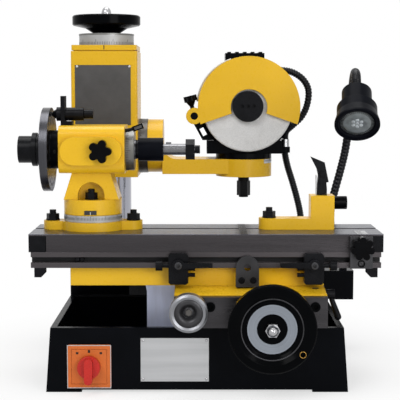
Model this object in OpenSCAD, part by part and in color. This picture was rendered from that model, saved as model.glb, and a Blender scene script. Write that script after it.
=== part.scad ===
// Bench tool and cutter grinder. The origin is the centre of the base's footprint,
// X runs along the table, Y to the back, Z up.

/* [Base] */
// Width of the base at the floor
base_w = 440; // [420:1:470]
// Depth of the base
base_d = 400; // [390:1:430]
// Height of the front tray
tray_h = 95; // [85:1:96]
// Height of the raised rear part
rear_h = 150; // [135:1:165]
// Depth of the raised rear part
rear_d = 138; // [125:1:142]
// Thickness of the tray walls
wall = 9; // [6:0.5:14]

/* [Cross slide] */
// Width of the machined cross way
way_w = 134; // [110:1:140]
// Length of the saddle slab
saddle_l = 376; // [350:1:390]
// Depth of the saddle slab
saddle_d = 132; // [115:1:140]
// Thickness of the saddle slab
slab_t = 27.5; // [24:0.5:28]
// Diameter of the cross-feed screw
feed_d = 14; // [10:1:18]

/* [Table] */
// Length of the swivel table
table_l = 523; // [500:1:545]
// Width of both tables
table_w = 128; // [122:1:134]
// Thickness of the lower table
lower_t = 23.4; // [22:0.2:26]
// Thickness of the swivel table
upper_t = 26.6; // [24:0.2:30]
// Width of the table slot
slot_w = 10; // [8:0.5:12]

/* [Workhead] */
// Diameter of the index disc
index_d = 127; // [110:1:130]
// Number of index holes
index_n = 24; // [12:12:36]
// Length of the workhead body
head_l = 98; // [90:1:104]
// Diameter of the arbor
arbor_d = 17; // [12:0.5:19]

/* [Column and arm] */
// Diameter of the column
column_d = 81; // [70:1:84]
// Width of the elevating box
box_w = 110; // [106:1:118]
// Depth of the elevating box
box_d = 112; // [106:1:118]
// Height of the elevating box
box_h = 209; // [195:1:215]
// Diameter of the arm's round end
boss_d = 95; // [85:1:100]

/* [Grinding head] */
// Diameter of the grinding wheel
wheel_d = 150; // [125:1:150]
// Thickness of the grinding wheel
wheel_t = 22; // [16:1:28]
// Diameter of the motor housing
motor_d = 122; // [110:1:124]
// Length of the motor housing
motor_l = 122; // [110:1:135]
// Diameter of the wheel guard
guard_d = 169; // [160:1:170]

/* [Handwheels] */
// Diameter of the front handwheel
front_wheel_d = 125; // [115:1:130]
// Diameter of the top handwheel
top_wheel_d = 115; // [100:1:120]

/* [Hidden] */

$fn = 48;
// Overrun of every cut past the face that it opens
over = 1;
// Running clearance on the radius of a shaft
run = 0.05;
// Clearance between parts that pass each other
gap = 0.3;

// Base
base_taper = 7;
base_top_w = base_w - 2 * base_taper;
foot_w = 52;
foot_h = 3.5;
rib_t = 30;
floor_t = 10;
floor_z = 30;
under_z = floor_z - floor_t;
base_front = -base_d / 2;
rear_y = base_d / 2 - rear_d;
deck_t = 12;

// Cross way and saddle
way_x = -12;
way_inset = 76;
way_front = base_front + way_inset;
way_neck = 3;
way_flare_h = 14;
slab_z = 149;
saddle_top = slab_z + slab_t;
saddle_inset = 48;
saddle_front = base_front + saddle_inset;
saddle_back = saddle_front + saddle_d;
way_back = rear_y - gap;
gib_w = 24;
gib_h = 20;
feed_z = 123.5;
feed_bore = 24;
feed_tail = 50;
nut_t = 12;

// Apron and front plate
apron_x0 = -33;
apron_x1 = saddle_l / 2 + run;
apron_front = base_front;
apron_slope = 6;
apron_up = 2;
apron_z = tray_h + apron_up;
plate_t = 12;
plate_h = 45;
plate_face = apron_front - plate_t;
plate_screw_d = 14;
plate_screw_inset = 18;
plate_screw_left = 52;
plate_screw_up = 31;
plate_screw_z = apron_z + plate_screw_up;
screw_sink = 3;
hex_share = 0.55;

// Gear train: module, tooth counts and places
gear_m = 2;
pinion_n = 15;
idler_n = 25;
pressure = 20;
add_share = 0.8;
ded_share = 1.2;
backlash = 0.3;
gear_w = 12;
pinion_r = gear_m * pinion_n / 2;
idler_r = gear_m * idler_n / 2;
wheel_x = 105;
table_z = saddle_top + 2 * run;
rack_body = 3.2;
rack_z = table_z - rack_body - gear_m * ded_share;
idler_z = rack_z - idler_r;
wheel_z = idler_z - idler_r - pinion_r;
gear_inset = 56;
gear_y = base_front + gear_inset;
gear_room = 3;
house_wall = 7;
house_x = idler_r + gear_room + house_wall;
house_back = gear_y + gear_w + gear_room + house_wall;
shaft_d = 16;
idler_pin_d = 12;
rack_l = 160;

// Handwheels: shares of the rim radius and of the depth
rim_t = 17;
hub_share = 0.24;
dish_share = 0.62;
cone_share = 0.42;
hub_l = 24;
hub_recess = 9;
edge_share = 0.12;
rim_out = 70;
front_rim_y = base_front - rim_out;
grip_hole_d = 8;
grip_share = 0.875;
grip_turn = 39;
acorn_d = 21;
acorn_h = 24;
acorn_base_share = 0.8;

// Cup knob of the cross feed
cup_d = 55;
cup_l = 22;
cup_wall = 7;
cup_depth = 13;
cup_out = 42;
cup_front = base_front - cup_out;
dial_d = 44;
dial_l = -cup_front + plate_face - cup_l - gap;

// Rotary switch
switch_w = 64;
switch_x = -156.6;
switch_z = 38.6;
switch_t = 4;
switch_face = 52;
switch_d = 33;
switch_l = 18;
handle_l = 46;
handle_w = 12;
handle_tip = 8;

// Tables
table_inset = 38.4;
table_front = base_front + table_inset;
table_x0 = -248.5;
table_mid = table_x0 + table_l / 2;
lower_short = 6;
lower_l = table_l - lower_short;
upper_z = table_z + lower_t;
top_z = upper_z + upper_t;
front_slot_w = 8;
front_slot_d = 12;
front_slot_up = 12;
front_slot_z = table_z + front_slot_up;
tee_w = 18;
tee_h = 8;
slot_inset = 70;
slot_y = table_front + slot_inset;
slot_deep = 18;
pivot_d = 20;
pivot_h = 12;
bevel = 3;
block_l = 25;
block_h = 24;
block_t = 6;

// Clamp plate with its star knob at the right end of the table
clamp_w = 33;
clamp_h = 47;
clamp_t = 9;
clamp_screw_d = 11;
clamp_inset = 33.5;
clamp_x = table_x0 + table_l - clamp_inset;
clamp_knob_d = 35;
clamp_knob_l = 16;
seven_share = 0.28;
five_share = 0.34;

// Trip stops
stop_w = 29;
stop_h = 46;
stop_t = 13;
left_stop_x = -42;
right_stop_x = 157;
stop_boss_d = 17;
stop_boss_l = 8;
stop_pin_d = 6;
stop_pin_l = 11;
stop_head_d = 15;
stop_head_share = 0.6;
stop_pin_shares = [0.5, 0.3];
stop_head_l = 10;
stop_neck_l = 9;
stop_lever_l = 50;
stop_lever_w = 9;
stop_lever_t = 7;
bracket_w = 34;
bracket_x = 74;
bracket_h = 46;
bracket_t = 12;
bracket_screw_d = 10;
end_stop_w = 17;
end_stop_h = 14;
end_stop_t = 9;
end_stop_share = 0.6;

// Saddle clamp lever
lever_hub_d = 14;
lever_hub_l = 14;
lever_l = 36;
lever_d = 7;
lever_tip_d = 10;
lever_inset = 30;
lever_y = base_front + lever_inset;
lever_z = 139;
lever_lean = 20;

// Workhead
work_x = -159.3;
work_y = slot_y;
flange_l = 151;
flange_w = 34;
flange_d = 96;
flange_t = 13.4;
bolt_x = 61.7;
bolt_d = 10;
bolt_h = 32;
bolt_af = 17;
nut_h = 8;
washer_d = 21;
washer_t = 2.2;
ring_d = 88;
ring_h = 11;
swivel_h = 23;
frame_h = 40;
frame_top = 57;
frame_foot = 83;
frame_t = 60;
body_h = 71;
body_d = 98;
body_round = 16;
flange_z = top_z + flange_t;
swivel_z = flange_z + ring_h;
frame_z = swivel_z + swivel_h;
body_z = frame_z + frame_h;
body_x0 = -206;
spindle_drop = 1.5;
spindle_z = body_z + body_h / 2 - spindle_drop;
spindle_d = 30;
post_d = 22;
front_boss_t = 9;
front_boss_w = 92;
front_boss_h = 42;
arch_w = 40;
arch_d = 14;
disc_t = 12;
sleeve_d = 58;
sleeve_room = 15;
sleeve_l = sleeve_room - gap;
index_hole_d = 5;
index_hole_share = 0.845;
collar_d = 51;
collar_l = 17;
collar_knob_d = 41;
collar_knob_l = 21;
sp_dial_d = 63;
sp_dial_l = 13;
nose_d = 29;
nose_l = 5;
black_d = 35;
black_l = 38;
arbor_l = 34;
arbor_nut_af = 27;
arbor_nut_l = 14;
arbor_end_l = 8;
arbor_end_d = 12;
key_share = 0.65;
body_x1 = body_x0 + head_l;
pin_d = 6;
pin_z = spindle_z + index_d / 2 * index_hole_share;
barrel_d = 20;
barrel_l = 34;
pin_rear_l = 14;
pin_rear_d = 14;
pin_tip_gap = 0.4;
ear_t = 6;
ear_w = 26;
ear_h = 44;
ear_x = body_x0;
ear_foot = 17;
knurl_d = 21;
knurl_l = 7;
nib_l = 5.5;
nib_share = 0.75;
nib_tip_share = 1.5;
star_d = 35;
star_l = 15;
star_stem_d = 12;
star_x = -142.5;
star_z = spindle_z + gap;

// Tooth rest
rest_x0 = 94;
rest_l = 114;
rest_foot_t = 17;
rest_w = 34;
rest_post_w = 36;
rest_post_h = 52;
rest_bolt_inset = 16;
rest_bolt_x = rest_x0 + rest_bolt_inset;
holder_w = 15;
holder_t = 12;
holder_h = 78;
holder_tip_w = 9;
blade_w = 14;
blade_t = 3;
blade_h = 30;
blade_lean = 12;
rest_knob_d = 20;
rest_knob_l = 20;
rest_stud_d = 8;
holder_room = 7;
holder_share = 0.6;
blade_side_share = 0.55;
blade_tip_share = 0.9;
rest_knob_drop = 12;
rest_knob_z = top_z + rest_post_h - rest_knob_drop;

// Column, box and arm
column_x = -154.5;
column_inset = 75;
column_y = base_d / 2 - column_inset;
column_top = 440;
column_wall = 10;
column_foot_d = 104;
column_foot_h = 14;
box_z = 293;
box_roof = 10;
cover_t = 10;
cover_step = 2;
cover_seam = 1.4;
box_top = box_z + box_h;
ring_top_d = 92;
ring_top_h = 20;
lift_d = 22;
lift_nut_t = 24;
lift_l = 150;
rim_room = 14;
top_rim_z = box_top + cover_t + ring_top_h + rim_room;
arm_z = 343;
arm_flange_d = 92;
arm_flange_t = 15;
arm_root_t = 26;
arm_root_d = 90;
arm_top = 322;
arm_t = 25;
arm_w = 78;
arm_boss_h = 30;
trunnion_d = 30;
box_x1 = column_x + box_w / 2;
root_x = box_x1 + arm_flange_t + gap;
arm_x = 79;
arm_fillet = 24;
clamp_stud_d = 16;
clamp_nut_d = 20;
clamp_nut_h = 37;
clamp_tip_h = 3;
clamp_washer_t = 9;
clamp_washer_d = 19;

// Grinding head
wheel_axis_x = 83;
wheel_axis_z = 411;
wheel_out = 64;
wheel_front = column_y - wheel_out;
seat_h = 9;
seat_z = arm_top + gap;
foot_plate_w = 127;
foot_plate_d = 110;
foot_plate_h = 22;
motor_out = 25;
motor_y = column_y - motor_out;
fin_n = 22;
fin_h = 4;
fin_t = 3;
box_top_w = 66;
box_top_l = 70;
box_top_z = 500;
lid_n = 5;
lid_w = 6;
lid_h = 2;
shield_t = 10;
bore_share = 0.8;
spindle_shaft_d = 24;
hub_d = 51;
hub_t = 10;
hub_hole_d = 6;
hub_row_share = 0.19;
wheel_bore = 32;
spindle_nose_d = 20;
guard_t = 3;
guard_out = 71;
guard_front = column_y - guard_out;
guard_rim_l = 40;
guard_hole_d = 60;
guard_shift = 2;
guard_x = wheel_axis_x + guard_shift;
guard_z = wheel_axis_z - guard_shift;
guard_open = 142;
knuckle_d = 27;
knuckle_x = -88.3;
knuckle_z = -15.9;
guard_pin_d = 12;
strap_t = 6;
strap_w = 18;
strap_slot_share = 0.22;
strap_wide_share = 0.4;
guard_knob_d = 23.5;
guard_knob_l = 9.5;
guard_stud_d = 7;
guard_stud_l = 18.5;
guard_neck_l = 7.5;
guard_room = 3;
guard_lean = 14;
foot_x = arm_x - foot_plate_w / 2;
foot_front = wheel_front + wheel_t + guard_room;
foot_back = column_y + foot_plate_d / 2;
foot_z = seat_z + seat_h;

// Conduit between the motor and the base
conduit_d = 12;
conduit_root_d = 9.6;
conduit_bore = 6.4;
gland_d = 13;
gland_l = 15;
gland_wall = 2;
drop_room = 14;
gland_x = 150;
gland_z = 339;
grommet_inset = 40;
grommet_x = base_w / 2 - grommet_inset;
grommet_d = 17;
loop_ribs = 44;
drop_ribs = 58;
// Points of the loop from the motor to the gland, with Y counted from the column's axis, and of the drop
// from the gland to the base, as shares of the way in X and as heights
loop_points = [[113.4, -7, 470], [126, -7, 470.5], [145, -7, 471], [163, -6, 467], [180, -4, 455],
    [189, -2, 437], [187, -1, 413], [178, 0, 393], [163, 0, 378], [153, 0, 369], [150.2, 0, 362],
    [150, 0, 354.4]];
drop_shares = [0, 0.0066667, 0.1666667, 0.4, 0.6333333, 0.8333333, 0.95, 1, 1, 1, 1, 1];
drop_heights = [338.7, 327, 306, 284, 260, 236, 214, 196, 175, 150, 100, 88];
loop_route = [for (q = loop_points) q + [0, column_y, 0]];
drop_route = [for (i = [0 : len(drop_shares) - 1])
    [gland_x + (grommet_x - gland_x) * drop_shares[i], column_y, drop_heights[i]]];

// Lamp
lamp_out = 27;
lamp_x = base_w / 2 + lamp_out;
lamp_inset = 112;
lamp_y = base_d / 2 - lamp_inset;
lamp_foot_z = 87;
lamp_foot_h = 49;
lamp_foot_w = 45;
lamp_foot_d = 46;
lamp_foot_top = 30;
lamp_lug_t = 5;
neck_d = 14;
neck_root_d = 12;
neck_bore = 8;
neck_ribs = 100;
bulb_d = 50;
lamp_ring_d = 67;
lamp_mid_d = 60;
lamp_rear_d = 45;
lamp_cap_d = 20;
lamp_l = 72;
lamp_pan_l = 30;
lamp_step_l = 34;
lamp_shell = 3;
socket_share = 0.62;
lamp_neck_share = 1.3;
lamp_reach = 238;
lamp_side = 12;
lamp_up = 389;
lamp_pos = [lamp_x - lamp_side, lamp_y - lamp_reach, lamp_up];
lamp_yaw = 4.4;
lamp_tilt = 46;
// Points of the gooseneck from its foot to the lamp, with X and Y counted from its foot
neck_points = [[0, 0, 136.3], [0, 0, 151], [-4, 0, 166], [-14, 0, 186], [-21, 0, 208], [-22, 0, 232],
    [-17, 0.5, 262], [-7, 1, 300], [1, 0, 335], [5, -8, 372], [5.5, -24, 408], [5, -48, 434.5],
    [2.3, -86, 456.5], [-1, -126, 465], [-3.4, -156, 461.5], [-4.8, -171.5, 453.2],
    [-5.65, -178.9, 446.1], [-6.45, -186.07, 439.14]];
neck_route = [for (q = neck_points) q + [lamp_x, lamp_y, 0]];

// Extrusions of an outline along an axis, and rods along an axis
module along_y(y, len) translate([0, y + len, 0]) rotate([90, 0, 0]) linear_extrude(len) children();
module along_x(x, len) translate([x, 0, 0]) rotate([90, 0, 90]) linear_extrude(len) children();
module rod_x(d, x, len, y, z) translate([x, y, z]) rotate([0, 90, 0]) cylinder(d = d, h = len);
module rod_y(d, y, len, x, z) translate([x, y, z]) rotate([-90, 0, 0]) cylinder(d = d, h = len);
module block(x, y, z, w, d, h) translate([x, y, z]) cube([w, d, h]);
module turned_y(y, x, z) translate([x, y, z]) rotate([-90, 0, 0]) rotate_extrude() children();

// Outline of a rectangle with rounded corners, centred
module soft_rect(w, h, r) {
    square([w - 2 * r, h], center = true);
    square([w, h - 2 * r], center = true);
    for (sx = [-1, 1], sy = [-1, 1])
        translate([sx * (w / 2 - r), sy * (h / 2 - r)]) circle(r);
}

// A flat outline with round ends
module stadium(w, h) {
    square([w - h, h], center = true);
    for (s = [-1, 1]) translate([s * (w - h) / 2, 0]) circle(d = h);
}

// Involute gear outline with a tooth on +Y
function involute(rb, r) = let (a = acos(min(1, rb / r))) tan(a) * 180 / PI - a;
function flank(m, n, rb, r) =
    let (rp = m * n / 2, half = (PI * m / 2 - backlash) / (2 * rp) * 180 / PI)
    half + involute(rb, rp) - involute(rb, max(r, rb));
function tooth(m, n, at) =
    let (rp = m * n / 2, rb = rp * cos(pressure), ra = rp + m * add_share, rf = rp - m * ded_share,
        radii = [rf, max(rb, rf), rp, (rp + ra) / 2, ra])
    concat(
        [for (i = [0 : 4]) let (a = at + flank(m, n, rb, radii[i])) radii[i] * [sin(-a), cos(a)]],
        [for (i = [4 : -1 : 0]) let (a = at - flank(m, n, rb, radii[i])) radii[i] * [sin(-a), cos(a)]]);
module gear_outline(m, n) polygon([for (i = [0 : n - 1]) each tooth(m, n, -i * 360 / n)]);

// Star knob along -Y with lobes round a core; its back face is at y
module star(d, l, y, x, z, lobes, lobe_share, turn) {
    core_share = 0.68;
    translate([x, y, z]) rotate([90, 0, 0]) {
        cylinder(d = d * core_share, h = l);
        for (i = [0 : lobes - 1]) rotate(i * 360 / lobes + turn)
            translate([d * (1 - lobe_share) / 2, 0, 0]) cylinder(d = d * lobe_share, h = l);
    }
}

// Dished handwheel profile: radius against depth, with the rim's front face at zero depth
module acorn() {
    r = acorn_d * acorn_base_share / 2;
    cylinder(d = acorn_d, h = acorn_h / 2, $fn = 6);
    translate([0, 0, acorn_h / 2]) rotate_extrude()
        polygon([[0, -over], [r, -over], for (a = [0 : 15 : 90]) [r * cos(a), acorn_h / 2 * sin(a)]]);
}

module wheel_profile(d, bore) {
    r = d / 2;
    hub_r = r * hub_share;
    web_share = 0.5;
    edge_r = rim_t * edge_share;
    polygon([[bore, hub_recess], [hub_r, hub_recess], [r * dish_share, rim_t * cone_share],
        [r * (1 + dish_share) / 2, 0], [r - edge_r, 0], [r, edge_r], [r, rim_t - edge_r],
        [r - edge_r, rim_t], [r * dish_share, rim_t + hub_recess * web_share],
        [hub_r * (1 + hub_share), hub_recess + hub_l], [bore, hub_recess + hub_l]]);
}

// Ribbed tube swept along a route: rings of eight sides, crest and root in turn, with a bore
function spline(p, i, t) =
    let (n = len(p) - 1, a = p[max(i - 1, 0)], b = p[i], c = p[min(i + 1, n)], d = p[min(i + 2, n)])
    0.5 * (2 * b + (c - a) * t + (2 * a - 5 * b + 4 * c - d) * t * t + (3 * b - a - 3 * c + d) * t * t * t);
function at(p, u) = let (n = len(p) - 1, i = min(floor(u * n), n - 1)) spline(p, i, u * n - i);
function unit(v) = v / norm(v);
function ring(p, u, r, side, n) =
    let (du = 0.002, t = unit(at(p, min(u + du, 1)) - at(p, max(u - du, 0))),
        e = unit(cross(t, side)), f = cross(t, e), c = at(p, u))
    [for (k = [0 : n - 1]) c + r * (cos(k * 360 / n) * e + sin(k * 360 / n) * f)];
module ribbed(p, ribs, crest, root, bore, side) {
    sides = 8;
    outer = 2 * ribs;
    inner = ceil(ribs / 3);
    points = concat(
        [for (i = [0 : outer]) each ring(p, i / outer, (i % 2 == 0 ? root : crest) / 2, side, sides)],
        [for (i = [0 : inner]) each ring(p, i / inner, bore / 2, side, sides)]);
    base = (outer + 1) * sides;
    faces = concat(
        [for (i = [0 : outer - 1], k = [0 : sides - 1])
            let (a = i * sides + k, b = i * sides + (k + 1) % sides)
            each [[a, b, b + sides], [a, b + sides, a + sides]]],
        [for (i = [0 : inner - 1], k = [0 : sides - 1])
            let (a = base + i * sides + k, b = base + i * sides + (k + 1) % sides)
            each [[a, b + sides, b], [a, a + sides, b + sides]]],
        [for (k = [0 : sides - 1]) let (b = (k + 1) % sides)
            each [[k, base + k, base + b], [k, base + b, b]]],
        [for (k = [0 : sides - 1])
            let (b = (k + 1) % sides, o = outer * sides, q = base + inner * sides)
            each [[o + k, o + b, q + b], [o + k, q + b, q + k]]]);
    polyhedron(points, faces);
}

module base() {
    half = base_w / 2;
    top = base_top_w / 2;
    color("#16181d") {
        difference() {
            union() {
                along_y(base_front, base_d) polygon([[-half, 0], [-half + foot_w, 0],
                    [-half + foot_w, foot_h], [half - foot_w, foot_h], [half - foot_w, 0], [half, 0],
                    [top, tray_h], [-top, tray_h]]);
                block(-top, rear_y, under_z, base_top_w, rear_d, rear_h - under_z);
            }
            block(-top + wall, base_front + wall, floor_z, base_top_w - 2 * wall,
                base_d - rear_d - wall - wall, rear_h);
            block(-half + foot_w + wall, base_front + foot_w, -over, base_w - 2 * (foot_w + wall),
                base_d - rear_d - foot_w, under_z + over);
            block(-top + wall, rear_y + wall, -over, base_top_w - 2 * wall, rear_d - 2 * wall,
                rear_h - deck_t + over);
            translate([grommet_x, column_y, -over]) cylinder(d = grommet_d, h = rear_h + 2 * over);
        }
        block(-half + foot_w - over, -rib_t / 2, 0, base_w - 2 * foot_w + 2 * over, rib_t, under_z + over);
    }
}

module cross_way() {
    half = way_w / 2;
    color("#8f90a2") difference() {
        along_y(way_front, way_back - way_front - wall) polygon([
            [way_x - half + way_neck, floor_z], [way_x + half - way_neck, floor_z],
            [way_x + half - way_neck, slab_z - way_flare_h], [way_x + half, slab_z],
            [way_x - half, slab_z], [way_x - half + way_neck, slab_z - way_flare_h]]);
        rod_y(feed_bore, way_front - over, way_back - way_front, way_x, feed_z);
    }
}

module cross_nut() {
    color("#b08a3c") difference() {
        rod_y(feed_bore - 2 * run, way_front, nut_t * 2, way_x, feed_z);
        rod_y(feed_d + 2 * run, way_front - over, nut_t * 2 + 2 * over, way_x, feed_z);
    }
}

module switch_plate() {
    rim = (switch_w - switch_face) / 2;
    color("#c9c9c6") difference() {
        along_y(base_front - switch_t, switch_t) translate([switch_x, switch_z])
            soft_rect(switch_w, switch_w, rim / 2);
        along_y(base_front - switch_t - over, over + switch_t / 4) translate([switch_x, switch_z])
            square(switch_face, center = true);
        rod_y(switch_d / 2, base_front - switch_t - over, switch_t + 2 * over, switch_x, switch_z);
    }
}

module switch_knob() {
    y = base_front - switch_t - gap;
    stem = switch_d / 2 - 2 * gap;
    color("#c8281e") {
        rod_y(switch_d, y - switch_l / 2, switch_l / 2, switch_x, switch_z);
        rod_y(stem, y - over, switch_t + gap + over, switch_x, switch_z);
        along_y(y - switch_l, switch_l) translate([switch_x, switch_z - handle_tip / 2]) rotate(90)
            stadium(handle_l - handle_tip, handle_w);
    }
}

module saddle() {
    color("#dfb632") difference() {
        union() {
            block(-saddle_l / 2, saddle_front, slab_z, saddle_l, saddle_d, slab_t);
            along_x(apron_x0, apron_x1 - apron_x0) polygon([[saddle_front + over, apron_z],
                [apron_front, apron_z], [apron_front, slab_z - apron_slope],
                [saddle_front, slab_z], [saddle_front + over, slab_z + over]]);
            block(wheel_x - house_x, saddle_front, apron_z, 2 * house_x, house_back - saddle_front,
                slab_z - apron_z + over);
        }
        block(-saddle_l / 2 - over, gear_y - gear_room, rack_z - gear_m - gear_room,
            saddle_l + 2 * over, gear_w + 2 * gear_room, slab_t + over);
        block(wheel_x - idler_r - gear_room, gear_y - gear_room, wheel_z - pinion_r - gear_room,
            2 * (idler_r + gear_room), gear_w + 2 * gear_room,
            saddle_top + over - wheel_z + pinion_r + gear_room);
        rod_y(shaft_d + 2 * run, plate_face, house_back - plate_face + over, wheel_x, wheel_z);
        rod_y(feed_d + 2 * run, apron_front - over, saddle_front - apron_front + 2 * over, way_x, feed_z);
    }
    color("#8a8a8c") rod_y(idler_pin_d, gear_y - gear_room - house_wall,
        gear_w + 2 * (gear_room + house_wall), wheel_x, idler_z);
}

module saddle_gibs() {
    half = way_w / 2;
    y = house_back + gap;
    color("#3a3b3f") for (s = [-1, 1])
        along_y(y, saddle_back - y) polygon([[way_x + s * (half + gap), slab_z],
            [way_x + s * (half + gib_w), slab_z], [way_x + s * (half + gib_w), slab_z - gib_h],
            [way_x + s * (half - way_neck + gap), slab_z - gib_h],
            [way_x + s * (half - way_neck + gap), slab_z - way_flare_h]]);
}

module front_plate() {
    w = apron_x1 - apron_x0;
    color("#55555a") difference() {
        block(apron_x0, plate_face, apron_z, w, plate_t, plate_h);
        rod_y(feed_d + 2 * run, plate_face - over, plate_t + 2 * over, way_x, feed_z);
        rod_y(shaft_d + 2 * run, plate_face - over, plate_t + 2 * over, wheel_x, wheel_z);
        for (x = [apron_x0 + plate_screw_left, apron_x1 - plate_screw_inset])
            rod_y(plate_screw_d + 2 * run, plate_face - over, over + plate_t / 2, x, plate_screw_z);
    }
}

module socket_screws() {
    color("#26272b") for (x = [apron_x0 + plate_screw_left, apron_x1 - plate_screw_inset])
        difference() {
            rod_y(plate_screw_d, plate_face - screw_sink, screw_sink + plate_t / 2, x, plate_screw_z);
            rod_y(plate_screw_d * hex_share, plate_face - screw_sink - over, over + plate_t / 3, x,
                plate_screw_z, $fn = 6);
        }
}

module centre_bracket() {
    z = slab_z + gap;
    lug = bracket_w / 2;
    color("#2b2d33") difference() {
        union() {
            block(bracket_x - bracket_w / 2, saddle_front - bracket_t, z, bracket_w, bracket_t, slab_t / 2);
            along_y(saddle_front - bracket_t - gap - stop_t / 2, stop_t / 2 + gap) {
                translate([bracket_x - lug, z]) square([bracket_w, bracket_h - lug]);
                translate([bracket_x, z + bracket_h - lug]) circle(lug);
            }
        }
        rod_y(bracket_screw_d, saddle_front - 2 * bracket_t - stop_t, stop_t + bracket_t, bracket_x,
            z + bracket_h - lug);
        for (s = [-1, 1])
            rod_y(bracket_screw_d, saddle_front - 2 * bracket_t, bracket_t, bracket_x + s * bracket_w / 4,
                z + bracket_screw_d);
    }
}

module saddle_lever() {
    x = apron_x1 + gap;
    color("#1d1f25") {
        rod_x(lever_hub_d, x, lever_hub_l, lever_y, lever_z);
        translate([x + lever_hub_l / 2, lever_y, lever_z]) rotate([0, 180 - lever_lean, 0]) {
            cylinder(d1 = lever_d, d2 = lever_tip_d, h = lever_l);
            translate([0, 0, lever_l]) sphere(d = lever_tip_d);
        }
    }
}

module cross_knob() {
    r = cup_d / 2;
    bore = feed_d / 2 + run;
    back = way_front + nut_t * 2 + feed_tail;
    color("#9a9b9f") {
        rod_y(feed_d, cup_front + cup_l - over, back - cup_front - cup_l + over, way_x, feed_z);
        turned_y(cup_front, way_x, feed_z) polygon([[0, cup_depth], [bore, cup_depth],
            [r - cup_wall, cup_wall / 4],
            [r - cup_wall / 2, 0], [r, cup_wall / 3], [r, cup_l - cup_wall / 3], [r - cup_wall / 3, cup_l],
            [0, cup_l]]);
        rod_y(dial_d, cup_front + cup_l - over, dial_l + over, way_x, feed_z);
    }
}

module traverse_shaft() {
    color("#c4c5c8") {
        rod_y(shaft_d, front_rim_y + hub_recess, house_back - front_rim_y - hub_recess, wheel_x, wheel_z);
        translate([wheel_x, front_rim_y + hub_recess, wheel_z]) rotate([90, 0, 0]) acorn();
        along_y(gear_y, gear_w) translate([wheel_x, wheel_z]) gear_outline(gear_m, pinion_n);
    }
}

module front_handwheel() {
    color("#17191f") difference() {
        turned_y(front_rim_y, wheel_x, wheel_z) wheel_profile(front_wheel_d, shaft_d / 2 + run);
        translate([wheel_x, 0, wheel_z]) rotate([0, grip_turn, 0])
            rod_y(grip_hole_d, front_rim_y - over, rim_t / 2, front_wheel_d / 2 * grip_share, 0);
    }
}

module idler_gear() {
    color("#77787d") difference() {
        along_y(gear_y, gear_w) translate([wheel_x, idler_z]) gear_outline(gear_m, idler_n);
        rod_y(idler_pin_d + 2 * run, gear_y - over, gear_w + 2 * over, wheel_x, idler_z);
    }
}

module lower_table() {
    color("#4b474b") {
        difference() {
            block(table_mid - lower_l / 2, table_front, table_z, lower_l, table_w, lower_t);
            block(table_mid - lower_l, table_front - over, front_slot_z - front_slot_w / 2, 2 * lower_l,
                front_slot_d + over, front_slot_w);
            block(table_mid - lower_l, table_front + front_slot_d / 2, front_slot_z - tee_w / 2, 2 * lower_l,
                front_slot_d / 2, tee_w);
        }
        translate([table_mid, slot_y + tee_w, upper_z]) cylinder(d = pivot_d, h = pivot_h);
    }
}

module table_rack() {
    pitch = PI * gear_m;
    n = floor(rack_l / pitch / 2);
    slope = tan(pressure);
    half = pitch / 4 - backlash / 2;
    top = gear_m * ded_share;
    tip = gear_m * add_share;
    color("#77787d") along_y(gear_y, gear_w) translate([wheel_x, rack_z]) {
        translate([-n * pitch, top]) square([2 * n * pitch, rack_body]);
        for (i = [-n : n - 1]) translate([(i + 0.5) * pitch, 0])
            polygon([[-half - slope * top, top + gap], [-half - slope * top, top],
                [-half + slope * tip, -tip],
                [half - slope * tip, -tip], [half + slope * top, top], [half + slope * top, top + gap]]);
    }
}

module swivel_table() {
    color("#85858f") difference() {
        along_x(table_x0, table_l) polygon([[table_front, upper_z], [table_front + table_w, upper_z],
            [table_front + table_w, top_z - bevel / 3], [table_front + table_w - bevel / 3, top_z],
            [table_front + bevel / 3, top_z], [table_front, top_z - bevel / 3]]);
        block(table_x0 - over, slot_y - slot_w / 2, top_z - slot_deep, table_l + 2 * over, slot_w,
            slot_deep + over);
        block(table_x0 - over, slot_y - tee_w / 2, top_z - slot_deep, table_l + 2 * over, tee_w, tee_h);
        translate([table_mid, slot_y + tee_w, upper_z - over])
            cylinder(d = pivot_d + 2 * run, h = pivot_h + over + gap);
        for (x = [table_x0, table_x0 + table_l - block_l])
            block(x - over, table_front - over, upper_z - over, block_l + 2 * over, block_t + over,
                block_h + over);
    }
}

module end_blocks() {
    color("#1b1c20") for (x = [table_x0, table_x0 + table_l - block_l])
        block(x, table_front + gap, upper_z, block_l, block_t - 2 * gap, block_h - gap);
}

module clamp_plate() {
    z = table_z + gap;
    color("#222328") difference() {
        block(clamp_x - clamp_w / 2, table_front - clamp_t, z, clamp_w, clamp_t, clamp_h);
        rod_y(clamp_screw_d, table_front - clamp_t - over, clamp_t / 2 + over, clamp_x,
            z + plate_screw_d / 2);
        rod_y(rest_stud_d + 2 * run, table_front - clamp_t - over, clamp_t + 2 * over, clamp_x,
            upper_z + tee_h);
    }
}

module table_knob() {
    color("#1c1d22") {
        star(clamp_knob_d, clamp_knob_l, table_front - clamp_t - gap, clamp_x, upper_z + tee_h, 7,
            seven_share, 90);
        rod_y(rest_stud_d, table_front - clamp_t - gap - over, clamp_t + over, clamp_x, upper_z + tee_h);
    }
}

module end_stops() {
    color("#1b1c20") for (s = [-1, 1]) {
        x = s < 0 ? table_x0 + tee_h : table_x0 + table_l - tee_h;
        along_y(table_front, end_stop_t) polygon([[x, table_z], [x - s * end_stop_w, table_z],
            [x - s * end_stop_w, table_z - end_stop_h / 2],
            [x - s * end_stop_w * end_stop_share, table_z - end_stop_h],
            [x, table_z - end_stop_h]]);
    }
}

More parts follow.
